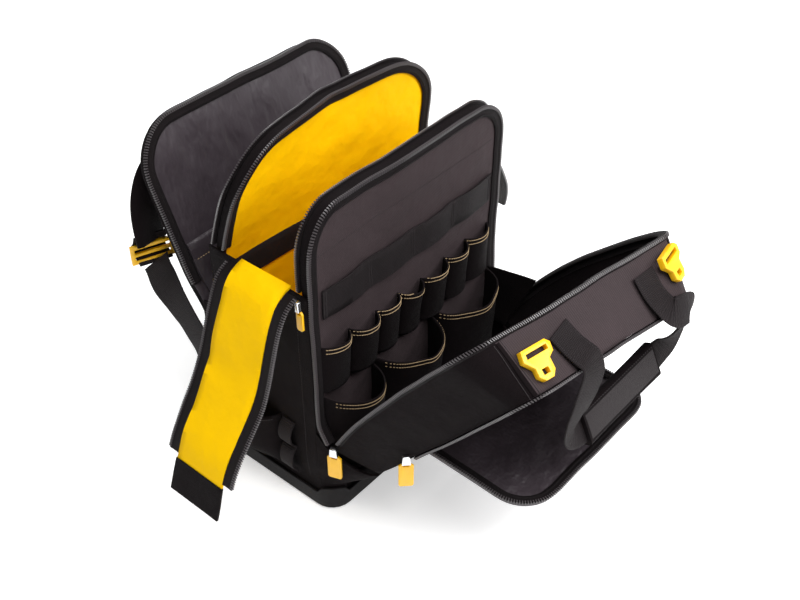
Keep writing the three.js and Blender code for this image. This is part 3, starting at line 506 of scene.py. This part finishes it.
def node_path(node, start, outwards, faced):
    """The path of a node made of four-cornered sections, from its end nearest to start.

    outwards(centre) points to the edge that counts as outer, faced(centre) to its visible face."""
    shape = node_shape(node)
    layer = first_section(shape, start)
    seen = set(layer)
    sections = []
    while layer:
        sections.append([point.co.copy() for point in layer])
        layer = list(dict.fromkeys(edge.other_vert(point) for point in layer for edge in point.link_edges
                                   if edge.other_vert(point) not in seen))
        seen.update(layer)
    shape.free()
    centres, acrosses, faces = [], [], []
    centre = sum(sections[0], Vector()) / 4
    across, face = outwards(centre), faced(centre)
    for corners in sections:
        if len(corners) != 4:
            break
        section = ordered_section(corners, across, face)
        wide = section[1] + section[2] - section[0] - section[3]
        deep = section[2] + section[3] - section[0] - section[1]
        across, face = wide.normalized(), deep.normalized()
        centres.append(sum(section, Vector()) / 4)
        acrosses.append(across)
        faces.append(face)
    return Path(centres, acrosses, faces, wide.length / 4, deep.length / 4)


def sweep(name, path, profile, closed_ends=True):
    """A closed section, in metres across and up, carried along a path, mapped for weaves."""
    count = len(profile)
    points, faces = [], []
    for i in range(len(path.centres)):
        points += [path.at(i, across, up) for across, up in profile]
    for i in range(len(path.centres) - 1):
        for j in range(count):
            k = (j + 1) % count
            faces.append((i * count + j, i * count + k, (i + 1) * count + k, (i + 1) * count + j))
    if closed_ends:
        last = (len(path.centres) - 1) * count
        faces.append(tuple(reversed(range(count))))
        faces.append(tuple(last + j for j in range(count)))
    piece = new_piece(name, points, faces)
    layer = piece.data.uv_layers.new(name="cloth")
    runs = [0.0]
    for a, b in zip(path.centres, path.centres[1:]):
        runs.append(runs[-1] + (b - a).length)
    for loop in piece.data.loops:
        i, j = divmod(loop.vertex_index, count)
        layer.data[loop.index].uv = (profile[j][0], runs[i])
    shape = bmesh.new()
    shape.from_mesh(piece.data)
    bmesh.ops.recalc_face_normals(shape, faces=shape.faces)
    shape.to_mesh(piece.data)
    shape.free()
    select_only(piece)
    bpy.ops.object.shade_smooth_by_angle(angle=math.radians(50))
    return piece


def rounded(width, height, radius, steps=3):
    """A rectangle with rounded corners, as (across, up) pairs round its centre."""
    corners = [(1, 1, 0), (-1, 1, 90), (-1, -1, 180), (1, -1, 270)]
    rim = []
    for sx, sy, start in corners:
        for i in range(steps + 1):
            angle = math.radians(start + 90 * i / steps)
            rim.append((sx * (width / 2 - radius) + radius * math.cos(angle),
                        sy * (height / 2 - radius) + radius * math.sin(angle)))
    return rim


def blocks(name, places, size, taper=0.7):
    """Many small bevelled blocks, each at (centre, along, across, up)."""
    length, width, height = size
    low = [(-1, -1, 0), (1, -1, 0), (1, 1, 0), (-1, 1, 0)]
    high = [(x * taper, y * taper, 1) for x, y, _ in low]
    points, faces = [], []
    for centre, along, across, up in places:
        base = len(points)
        for x, y, z in low + high:
            points.append(centre + along * (x * length / 2) + across * (y * width / 2) + up * (z * height))
        faces += [tuple(base + i for i in face) for face in
                  ((3, 2, 1, 0), (4, 5, 6, 7), (0, 1, 5, 4), (1, 2, 6, 5), (2, 3, 7, 6), (3, 0, 4, 7))]
    piece = new_piece(name, points, faces)
    shape = bmesh.new()
    shape.from_mesh(piece.data)
    bmesh.ops.recalc_face_normals(shape, faces=shape.faces)
    shape.to_mesh(piece.data)
    shape.free()
    lay_map(piece.data)
    return piece


def zip_side(node, start, outwards, faced, on_edge=False):
    """One side of an open zip: its woven tape, the bead along its seam and its row of teeth.

    The teeth stand on the visible face, or with on_edge on the tape's outer edge."""
    look = bpy.context.scene.tool_backpack
    path = node_path(node, start, outwards, faced).finer(4 * MM, look.fold)
    half, thick = path.half, path.thick
    tuck = 2.2 * MM
    tape = [(-half - tuck, -thick * 0.5), (half - 2 * MM, -thick), (half - 0.6 * MM, -thick * 0.6),
            (half - 0.6 * MM, thick * 0.4), (half - 2.5 * MM, thick * 0.75), (half - 5 * MM, thick * 0.45),
            (-half + 2.4 * MM, thick * 0.4), (-half + 1.2 * MM, thick), (-half + 0.2 * MM, thick * 0.8),
            (-half - tuck, -thick * 0.1)]
    if on_edge:
        tape = [(half + 0.4 * MM, thick), (-half, thick), (-half - tuck, 0), (-half - tuck, -thick),
                (half - 3.2 * MM, -thick), (half - 5.4 * MM, -thick - 9 * MM),
                (half - 4.2 * MM, -thick - 9.4 * MM),
                (half - 1.6 * MM, -thick - 4 * MM), (half + 0.2 * MM, -thick)]
    finished(sweep(f"{node}_tape", path, tape), "tape", (node,))
    fine = path.finer(look.tooth_pitch, 0)
    places = []
    for i in range(1, len(fine.centres) - 1):
        along = (fine.centres[i + 1] - fine.centres[i - 1]).normalized()
        if on_edge:
            places.append((fine.at(i, half - 0.8 * MM, -0.6 * MM), along, fine.faces[i], fine.acrosses[i]))
        else:
            places.append((fine.at(i, half - 1.2 * MM, -thick * 0.4), along, fine.acrosses[i], fine.faces[i]))
    size = (look.tooth_pitch * 0.6, 4.8 * MM, 2.2 * MM if on_edge else thick * 1.75)
    finished(blocks(f"{node}_teeth", places, size, 0.7), "teeth")
    return path


def surface_of(piece):
    """A search tree over a finished piece's mesh."""
    shape = bmesh.new()
    shape.from_mesh(piece.data)
    tree = BVHTree.FromBMesh(shape)
    shape.free()
    return tree


def stitches(name, tree, line, towards, finish="thread", width=0.9 * MM, gap=0.45):
    """A row of stitches along a line that is laid on a surface from the side it faces."""
    look = bpy.context.scene.tool_backpack
    pitch = look.stitch * (1 + gap)
    places = []
    for a, b in zip(line, line[1:]):
        steps = max(1, round((b - a).length / pitch))
        for i in range(steps):
            from_place = a.lerp(b, (i + 0.5) / steps) + towards * 0.03
            hit, normal, _, _ = tree.ray_cast(from_place, -towards, 0.09)
            if hit is None:
                continue
            if normal.dot(towards) < 0:
                normal = -normal
            ahead, _, _, _ = tree.ray_cast(from_place + (b - a).normalized() * 0.002, -towards, 0.09)
            along = (ahead - hit).normalized() if ahead is not None else (b - a).normalized()
            across = normal.cross(along).normalized()
            places.append((hit - normal * 0.1 * MM, along, across, normal))
    if not places:
        return None
    row = blocks(name, places, (look.stitch, width, 0.55 * MM), 0.6)
    return finished(row, finish)


def band(name, tree, line, towards, width, finish, lift=0.9 * MM, thick=1.2 * MM):
    """A narrow sewn tape along a line laid on a surface."""
    centres, acrosses, faces = [], [], []
    for i, place in enumerate(line):
        hit, normal, _, _ = tree.ray_cast(place + towards * 0.03, -towards, 0.09)
        if hit is None:
            continue
        if normal.dot(towards) < 0:
            normal = -normal
        ahead = line[min(i + 1, len(line) - 1)] - line[max(i - 1, 0)]
        across = normal.cross(ahead).normalized()
        across = (across - normal * across.dot(normal)).normalized()
        centres.append(hit + normal * lift)
        acrosses.append(across)
        faces.append(normal)
    path = Path(centres, acrosses, faces, width / 2)
    piece = sweep(name, path, rounded(width, thick, thick * 0.45, 2))
    return finished(piece, finish)


def straight(a, b, spacing=4 * MM):
    """Points from a to b."""
    a, b = Vector(a), Vector(b)
    steps = max(1, round((b - a).length / spacing))
    return [a.lerp(b, i / steps) for i in range(steps + 1)]


# Operators

class BACKPACK_OT_base(bpy.types.Operator):
    """Moulded base with its corner guards"""

    bl_idname = "backpack.base"
    bl_label = "Moulded base"

    def execute(self, context):
        hard("moulded_base", "base_tray", "rubber", 1.1 * MM, 3)
        return {"FINISHED"}


class BACKPACK_OT_walls(bpy.types.Operator):
    """Cloth walls round the body, with their seams"""

    bl_idname = "backpack.walls"
    bl_label = "Cloth walls"

    def execute(self, context):
        for side, name in ((-1, "left"), (1, "right")):
            wall = dress(f"{name}_side_wall", f"{name}_wall_cloth", "cloth", levels=2)
            patch(wall, "yellow", lambda centre, normal, side=side:
                  normal.x * side < -0.5 and -0.068 < centre.y < 0.07)
            tree = surface_of(wall)
            out = Vector((side, 0, 0))
            x = side * 0.166
            for y in (0.066, -0.062):
                stitches(f"{name}_wall_stitches_{'rear' if y > 0 else 'front'}", tree,
                         straight((x, y, 0.045), (x, y, 0.318 if y < 0 else 0.30)), out,
                         "dark_thread", 0.7 * MM)
            stitches(f"{name}_wall_top_stitches", tree, straight((x, 0.06, 0.316), (x, -0.07, 0.316)), out,
                     "dark_thread", 0.7 * MM)
        dress("front_wall", "front_wall_cloth", "cloth", levels=2)
        dress("right_cheek", "right_cheek_cloth", "cloth", levels=3)
        return {"FINISHED"}


class BACKPACK_OT_panels(bpy.types.Operator):
    """Padded front and middle dividers and the back panel"""

    bl_idname = "backpack.panels"
    bl_label = "Padded panels"

    def execute(self, context):
        front = dress("front_divider", "front_divider_pad", "twill", levels=3, hold=0.55)
        middle = dress("middle_divider", "middle_divider_pad", "cloth", levels=3, hold=0.55)
        patch(middle, "yellow", self.inside_border(*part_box("middle_divider")))
        patch(front, "cloth", lambda centre, normal: normal.y > -0.4)
        patch(front, "yellow", self.inside_border(*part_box("front_divider"), radius=0.046, facing=1))
        back = dress("back_panel", "back_panel_pad", "lining", levels=3, hold=0.55,
                     bulge=self.puckers)
        patch(back, "cloth", lambda centre, normal: normal.y > -0.4)
        dress("lining_band", "elastic_band", "webbing", levels=2)
        pocket = dress("back_panel_pocket", "inner_pocket_cloth", "lining", levels=2)
        tree = surface_of(pocket)
        stitches("inner_pocket_stitches", tree, straight((-0.146, 0.1, 0.283), (0.146, 0.1, 0.283)),
                 Vector((0, -0.8, 0.6)), "thread", 0.8 * MM)
        return {"FINISHED"}

    @staticmethod
    def inside_border(low, high, radius=0.070, border=0.005, facing=-1):
        """A test for places on the lining of a panel's front or, facing 1, rear, within its zip."""
        def test(place, normal):
            over = Vector((max(0, abs(place.x) - high[0] + radius), max(0, place.z - high[2] + radius)))
            return normal.y * facing > 0.4 and over.length < radius - border
        return test

    @staticmethod
    def puckers(place, normal):
        """The lining's upright gathers, on the panel's front alone."""
        if place.z < 0.24 or normal.y > -0.2:
            return Vector()
        grow = min(1.0, (place.z - 0.24) / 0.05)
        wave = noise.noise(Vector((place.x * 34, 0.3, place.z * 5))) + 0.5 * noise.noise(
            Vector((place.x * 80, 2.3, place.z * 9)))
        return Vector((0, -0.9, 0.3)) * (wave * 2.2 * MM * grow)


class BACKPACK_OT_organiser(bpy.types.Operator):
    """Tool loops, pouches and the sewn webbing band"""

    bl_idname = "backpack.organiser"
    bl_label = "Tool loops and pouches"

    def execute(self, context):
        front = Vector((0, -1, 0))
        pieces = ("tool_loops", "tool_pouch_left", "tool_pouch_middle", "tool_pouch_right")
        for node in pieces:
            low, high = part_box(node)
            sag = self.slack(high[2], 0.035 if node == "tool_loops" else 0.07)
            cloth = dress(node, f"{node}_cloth", "cloth", levels=3, bulge=sag)
            tree = surface_of(cloth)
            for drop, title in ((2.0, "edge"), (7.5, "hem")):
                line = [place + sag(place, front) for place in straight(
                    (low[0] + 0.003, -0.12, high[2] - drop * MM),
                    (high[0] - 0.003, -0.12, high[2] - drop * MM),
                    2 * MM)]
                stitches(f"{node}_{title}_stitches", tree, line, front)
        webbing = dress("divider_webbing", "divider_band", "webbing", levels=2,
                        bulge=lambda place, normal: Vector((0, -1.1 * MM, 0)))
        tree = surface_of(webbing)
        for i in range(5):
            x = (-0.146 + 0.0730 * i) * 0.985
            for shift in (-1.6, 1.6):
                stitches(f"divider_band_tack_{i}_{'a' if shift < 0 else 'b'}", tree,
                         straight((x + shift * MM, -0.09, 0.29), (x + shift * MM, -0.09, 0.324), 2 * MM),
                         front, "dark_thread", 1.0 * MM)
        panel = surface_of(bpy.data.objects["front_divider_pad"])
        stitches("divider_seam_stitches", panel, straight((-0.15, -0.09, 0.372), (0.15, -0.09, 0.372)),
                 front, "dark_thread", 0.8 * MM)
        return {"FINISHED"}

    @staticmethod
    def slack(top, reach):
        """How loops and pouches hang: their top edges dip and swell unevenly."""
        def push(place, normal):
            share = min(1.0, max(0.0, 1 - (top - place.z) / reach))
            dip = noise.noise(Vector((place.x * 24, 1.7, 0)))
            swell = noise.noise(Vector((place.x * 40, 8.1, place.z * 18)))
            return Vector((0, -2.4 * MM * swell, -5 * MM * max(0.0, dip) * 1.6)) * share
        return push


class BACKPACK_OT_cover(bpy.types.Operator):
    """The tilted front cover: its gusset, its face and their seams"""

    bl_idname = "backpack.cover"
    bl_label = "Front cover"

    # Where the ribbed cloth ends to the left and right, and its seams' rear and front ends
    RIB_LEFT = -0.124
    RIB_RIGHT = 0.139
    SEAM_REAR = (-0.288, 0.356)
    SEAM_FRONT = (-0.343, 0.316)
    STITCH_SHIFT = 5 * MM

    # The cloth that closes the right corner: its outline as (y, z), and its two faces' x
    CORNER_OUTLINE = ((-0.145, 0.066), (-0.078, 0.066), (-0.078, 0.128), (-0.135, 0.128))
    CORNER_FACES = (0.1590, 0.1608)

    def execute(self, context):
        gusset = dress("cover_gusset", "cover_gusset_cloth", "cloth", levels=2)
        patch(gusset, "rib", lambda centre, normal:
              normal.z > 0.4 and self.RIB_LEFT < centre.x < self.RIB_RIGHT + MM and centre.z > 0.2)
        tree = surface_of(gusset)
        outer = Vector((0, -0.59, 0.81))
        for side, x in (("left", self.RIB_LEFT), ("right", self.RIB_RIGHT)):
            line = straight((x, *self.SEAM_REAR), (x * 0.99, *self.SEAM_FRONT), 3 * MM)
            band(f"cover_seam_{side}", tree, line, outer, 5 * MM, "cloth", 0.3 * MM, 1.4 * MM)
        for mark, shift in (("a", -self.STITCH_SHIFT), ("b", self.STITCH_SHIFT)):
            x = self.RIB_LEFT + shift
            line = straight((x, *self.SEAM_REAR), (x + 1 * MM, *self.SEAM_FRONT), 2 * MM)
            stitches(f"cover_seam_stitches_{mark}", tree, line, outer, "dark_thread", 0.8 * MM)
        corner_points = [(x, y, z) for x in self.CORNER_FACES for y, z in self.CORNER_OUTLINE]
        corner_faces = [(0, 3, 2, 1), (4, 5, 6, 7), (0, 1, 5, 4), (1, 2, 6, 5), (2, 3, 7, 6), (3, 0, 4, 7)]
        corner = new_piece("right_corner_cloth", corner_points, corner_faces)
        lay_map(corner.data)
        finished(corner, "cloth")
        dress("cover_face", "cover_face_cloth", "rib", levels=2)
        return {"FINISHED"}


class BACKPACK_OT_flap(bpy.types.Operator):
    """The pocket's lowered flap, in lining cloth"""

    bl_idname = "backpack.flap"
    bl_label = "Pocket flap"

    def execute(self, context):
        flap = dress("pocket_flap", "pocket_flap_pad", "lining", levels=3, hold=0.7)
        return {"FINISHED"}


class BACKPACK_OT_strips(bpy.types.Operator):
    """The two unzipped gusset strips and their end tabs"""

    bl_idname = "backpack.strips"
    bl_label = "Gusset strips"

    def execute(self, context):
        for name in ("left", "right"):
            strip = dress(f"{name}_gusset_strip", f"{name}_strip_cloth", "yellow", levels=3,
                          bulge=self.creases)
            tab = dress(f"{name}_strip_tab", f"{name}_tab_cloth", "cloth", levels=3)
        return {"FINISHED"}

    @staticmethod
    def creases(place, normal):
        """Cross creases where the strip was folded when it was zipped shut."""
        run = math.hypot(abs(place.x) - 0.16, 0.331 - place.z)
        wave = math.sin(run * 95 + noise.noise(place * 14) * 2.4)
        return Vector((math.copysign(0.7, place.x), 0, 0.7)) * (wave * 0.9 * MM)


class BACKPACK_OT_zips(bpy.types.Operator):
    """Zip tapes with their teeth round panels, cover, pocket, flap and strips"""

    bl_idname = "backpack.zips"
    bl_label = "Zips"

    def execute(self, context):
        def from_line(height):
            return lambda centre: Vector((centre.x, 0, max(0.0, centre.z - height)))

        front, rear = (lambda centre: Vector((0, -1, 0))), (lambda centre: Vector((0, 1, 0)))
        zip_side("front_divider_front_zip", Vector((-0.16, -0.098, 0.118)), from_line(0.36), front)
        zip_side("front_divider_rear_zip", Vector((-0.16, -0.065, 0.327)), from_line(0.36), rear)
        zip_side("middle_divider_front_zip", Vector((-0.16, 0.05, 0.327)), from_line(0.36), front)
        zip_side("middle_divider_rear_zip", Vector((-0.16, 0.065, 0.327)), from_line(0.36), rear)
        zip_side("back_panel_zip", Vector((-0.16, 0.108, 0.248)), from_line(0.33), front)
        zip_side("cover_zip", Vector((-0.161, -0.115, 0.13)), from_line(0.30),
                 lambda centre: Vector((0, 0.8, 0.6)), on_edge=True)
        zip_side("pocket_zip", Vector((-0.139, -0.2, 0.145)), from_line(0.28),
                 lambda centre: Vector((0, -0.8, -0.3)))
        zip_side("flap_zip", Vector((-0.113, -0.2, 0.142)),
                 lambda centre: Vector((centre.x, centre.y + 0.25, 0)), lambda centre: Vector((0, 0, 1)))
        for side, name in ((-1, "left"), (1, "right")):
            outer = lambda centre, side=side: Vector((side, 0, 0.7))
            low = Vector((side * 0.17, 0, 0.326))
            zip_side(f"{name}_strip_front_zip", low + Vector((0, -0.062, 0)),
                     lambda centre: Vector((0, -1, 0)), outer)
            zip_side(f"{name}_strip_rear_zip", low + Vector((0, 0.026, 0)),
                     lambda centre: Vector((0, 1, 0)), outer)
        return {"FINISHED"}


class BACKPACK_OT_straps(bpy.types.Operator):
    """Shoulder pads, their webbing and ladder locks"""

    bl_idname = "backpack.straps"
    bl_label = "Shoulder straps"

    def execute(self, context):
        look = context.scene.tool_backpack
        for side, name in ((-1, "left"), (1, "right")):
            away = lambda centre: Vector((0, 1, 0.1))
            outer = lambda centre, side=side: Vector((side, 0, 0.2))
            path = node_path(f"{name}_shoulder_pad", Vector((side * 0.048, 0.17, 0.395)), outer, away)
            fine = path.finer(4 * MM, look.fold)
            half, thick = path.half, path.thick
            pad = sweep(f"{name}_pad", fine, [
                (half * a, thick * b) for a, b in (
                    (1, 0), (0.97, 0.3), (0.9, 0.42), (0.82, 0.7), (0.6, 0.95), (0.3, 1), (0, 1.0),
                    (-0.3, 1), (-0.6, 0.95), (-0.82, 0.7), (-0.9, 0.42), (-0.97, 0.3), (-1, 0),
                    (-0.97, -0.3), (-0.9, -0.42), (-0.8, -0.8), (-0.4, -1), (0.4, -1), (0.8, -0.8),
                    (0.9, -0.42), (0.97, -0.3))])
            finished(pad, "cloth", (f"{name}_shoulder_pad",))
            path = node_path(f"{name}_strap_webbing", Vector((side * 0.158, 0.183, 0.243)), outer,
                             lambda centre, side=side: Vector((side, 0.6, 0.3)))
            fine = path.finer(3 * MM, look.fold * 0.5)
            section = rounded(path.half * 2, path.thick * 2, path.thick * 0.8, 2)
            strap = sweep(f"{name}_webbing", fine, section)
            finished(strap, "webbing", (f"{name}_strap_webbing",))
            hard(f"{name}_ladder_lock", f"{name}_lock", "plastic", 0.9 * MM, 2)
            run = [Vector((side * 157 * MM, y * MM, z * MM)) for y, z in
                   ((186, 280), (190, 270), (196, 262), (193, 254), (186, 247), (183, 242))]
            across = Vector((side, 0.36, 0)).normalized()
            facing = Vector((-side * 0.36, 1, 0.3)).normalized()
            turn = Path(run, [across] * len(run), [facing] * len(run), 21 * MM, 1.1 * MM)
            loop = sweep(f"{name}_lock_webbing", turn.finer(3 * MM, look.fold * 0.5),
                         rounded(42 * MM, 2.2 * MM, 0.9 * MM, 2))
            finished(loop, "webbing")
        return {"FINISHED"}


class BACKPACK_OT_handle(bpy.types.Operator):
    """The carry handle and its hook and loop wrap"""

    bl_idname = "backpack.handle"
    bl_label = "Carry handle"

    def execute(self, context):
        look = context.scene.tool_backpack
        path = node_path("carry_handle", Vector((-0.058, -0.312, 0.347)),
                         lambda centre: Vector((1, 0, 0)), lambda centre: Vector((0, -0.6, 0.8)))
        fine = path.finer(3 * MM, look.fold * 0.5)
        half, thick = path.half, path.thick
        strap = sweep("handle_webbing", fine, rounded(half * 2, thick * 2, thick * 0.8, 2))
        finished(strap, "webbing", ("carry_handle",))
        rows = []
        for a in (-0.82, 0.82):
            rows += [(fine.at(i, half * a, thick * 0.7),
                      (fine.centres[min(i + 1, len(fine.centres) - 1)] - fine.centres[max(i - 1, 0)])
                      .normalized(), fine.acrosses[i], fine.faces[i])
                     for i in range(1, len(fine.centres) - 1)]
        threads = blocks("handle_edge_stitches", rows, (look.stitch * 0.8, 0.7 * MM, 0.6 * MM), 0.6)
        finished(threads, "dark_thread")

        low, high = (Vector(corner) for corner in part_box("handle_wrap"))
        centre = (low + high) / 2
        hang = Vector((0, -0.9, 0.44)).normalized()
        across = hang.cross(Vector((1, 0, 0)))
        length, width, height = high.x - low.x, 44 * MM, 15 * MM
        steps = 36
        centres = [Vector((low.x + 0.4 * MM + (length - 0.8 * MM) * i / steps, centre.y, centre.z))
                   for i in range(steps + 1)]
        wrap_path = Path(centres, [across] * (steps + 1), [hang] * (steps + 1), width / 2)
        wrap = sweep("grip_wrap", wrap_path, rounded(width - 1 * MM, height - 1.5 * MM, 5 * MM, 5))
        for point in wrap.data.vertices:
            run = (point.co.x - low.x) / length
            offset = point.co - Vector((point.co.x, centre.y, centre.z))
            point.co -= offset * 0.05 * math.sin(math.pi * run)
        finished(wrap, "cloth", ("handle_wrap",))
        for title, lift, wide in (("front", 1, 30 * MM), ("rear", -1, 26 * MM)):
            pad = [(a * wide / 2, lift * (height / 2 - 1.9 * MM + u * MM))
                   for a, u in ((-1, 0), (-0.97, 1.2), (0, 1.5), (0.97, 1.2), (1, 0))]
            mat = sweep(f"grip_{title}_mat", wrap_path, pad)
            for point in mat.data.vertices:
                run = (point.co.x - low.x) / length
                point.co.x = low.x + 3 * MM + (length - 6 * MM) * run
            finished(mat, "fuzzy")
        rows = []
        for a in (-17.6 * MM, 17.6 * MM):
            for i in range(2, steps):
                rows.append((centres[i] + across * a + hang * (height / 2 - 1.6 * MM), Vector((1, 0, 0)),
                             across, hang))
        threads = blocks("grip_stitches", rows, (look.stitch, 0.9 * MM, 0.9 * MM), 0.6)
        finished(threads, "dark_thread")
        return {"FINISHED"}


class BACKPACK_OT_pockets(bpy.types.Operator):
    """Side pockets and the columns of webbing loops"""

    bl_idname = "backpack.pockets"
    bl_label = "Side pockets"

    def execute(self, context):
        for side, name in ((-1, "left"), (1, "right")):
            pocket = dress(f"{name}_side_pocket", f"{name}_pocket_cloth", "cloth", levels=3)
            tree = surface_of(pocket)
            out = Vector((side, 0, 0))
            stitches(f"{name}_pocket_hem", tree,
                     straight((side * 0.19, -0.019, 0.119), (side * 0.19, 0.063, 0.119), 2 * MM), out,
                     "dark_thread")
            dress(f"{name}_webbing_loops", f"{name}_loops", "webbing", levels=2)
        return {"FINISHED"}


class BACKPACK_OT_hardware(bpy.types.Operator):
    """Clips, zip sliders and their hinged pulls"""

    bl_idname = "backpack.hardware"
    bl_label = "Clips, sliders and pulls"

    def execute(self, context):
        for name in ("left", "right"):
            hard(f"{name}_clip", f"{name}_clip_moulding", "plastic", 1.5 * MM, 3)
        for name in ("main_left", "main_right", "pocket", "strip"):
            hard(f"{name}_slider", f"{name}_slider_body", "steel", 1.1 * MM, 3)
            hard(f"{name}_pull", f"{name}_pull_moulding", "plastic", 0.8 * MM, 3,
                 body=f"{name}_pull_body")
        return {"FINISHED"}


class BACKPACK_OT_stage(bpy.types.Operator):
    """Floor, lights and the camera"""

    bl_idname = "backpack.stage"
    bl_label = "Stage"

    def execute(self, context):
        bpy.ops.object.select_all(action="DESELECT")
        bpy.ops.mesh.primitive_plane_add(size=14, location=(0, 0, 0))
        floor = bpy.context.object
        floor.name = "floor"
        pale = Finish("pale_floor", (0.9, 0.9, 0.9, 1), 0.8,
                      emission_color=(1, 1, 1, 1), emission_strength=0.5)
        floor.data.materials.append(pale.material)

        world = bpy.data.worlds.new("studio")
        world.use_nodes = True
        world.node_tree.nodes["Background"].inputs[0].default_value = (1, 1, 1, 1)
        world.node_tree.nodes["Background"].inputs[1].default_value = 0.18
        context.scene.world = world

        lamps = (
            ("key", (1.0, -1.8, 1.6), 1.2, 44), ("top", (0.0, 0.2, 2.3), 1.5, 26),
            ("high front", (-0.25, -1.1, 2.3), 1.2, 44), ("rim", (1.2, 1.4, 1.3), 1.0, 8),
        )
        for name, place, size, power in lamps:
            light = bpy.data.lights.new(name, "AREA")
            light.size = size
            light.energy = power
            lamp = bpy.data.objects.new(name, light)
            lamp.location = place
            aim = Vector((0, -0.05, 0.2)) - Vector(place)
            lamp.rotation_euler = aim.to_track_quat("-Z", "Y").to_euler()
            context.scene.collection.objects.link(lamp)

        a, e = CAMERA_AZIMUTH, CAMERA_ELEVATION
        right = Vector((math.cos(a), math.sin(a), 0))
        back = Vector((math.sin(a) * math.cos(e), -math.cos(a) * math.cos(e), math.sin(e)))
        up = back.cross(right)
        lens = bpy.data.cameras.new("camera")
        lens.sensor_width = 36
        lens.lens = CAMERA_LENS
        lens.clip_start = 0.05
        camera = bpy.data.objects.new("camera", lens)
        camera.matrix_world = Matrix((
            (right.x, up.x, back.x, CAMERA_PLACE.x), (right.y, up.y, back.y, CAMERA_PLACE.y),
            (right.z, up.z, back.z, CAMERA_PLACE.z), (0, 0, 0, 1)))
        context.scene.collection.objects.link(camera)
        context.scene.camera = camera
        context.scene.view_settings.view_transform = "Standard"
        return {"FINISHED"}


class BACKPACK_PT_panel(bpy.types.Panel):
    """The backpack's pieces and settings"""

    bl_idname = "BACKPACK_PT_panel"
    bl_label = "Open tool backpack"
    bl_space_type = "VIEW_3D"
    bl_region_type = "UI"
    bl_category = "Backpack"

    def draw(self, context):
        look = context.scene.tool_backpack
        for name in BackpackSettings.__annotations__:
            self.layout.prop(look, name)
        for operator in OPERATORS:
            self.layout.operator(operator.bl_idname)


OPERATORS = (
    BACKPACK_OT_base, BACKPACK_OT_walls, BACKPACK_OT_panels, BACKPACK_OT_organiser, BACKPACK_OT_cover,
    BACKPACK_OT_flap, BACKPACK_OT_strips, BACKPACK_OT_zips, BACKPACK_OT_straps, BACKPACK_OT_handle,
    BACKPACK_OT_pockets, BACKPACK_OT_hardware, BACKPACK_OT_stage,
)
CLASSES = (BackpackSettings, *OPERATORS, BACKPACK_PT_panel)


def register():
    """Adds the classes and the scene's settings, and seeds the folds."""
    noise.seed_set(FOLD_SEED)
    for item in CLASSES:
        bpy.utils.register_class(item)
    bpy.types.Scene.tool_backpack = bpy.props.PointerProperty(type=BackpackSettings)


def unregister():
    """Takes the classes and the scene's settings away."""
    del bpy.types.Scene.tool_backpack
    for item in reversed(CLASSES):
        bpy.utils.unregister_class(item)


def main():
    """Builds the bag, one operator after another."""
    register()
    make_finishes(bpy.context.scene.tool_backpack)
    bpy.ops.backpack.base()
    bpy.ops.backpack.walls()
    bpy.ops.backpack.panels()
    bpy.ops.backpack.organiser()
    bpy.ops.backpack.cover()
    bpy.ops.backpack.flap()
    bpy.ops.backpack.strips()
    bpy.ops.backpack.zips()
    bpy.ops.backpack.straps()
    bpy.ops.backpack.handle()
    bpy.ops.backpack.pockets()
    bpy.ops.backpack.hardware()
    bpy.ops.backpack.stage()


if __name__ == "__main__":
    main()
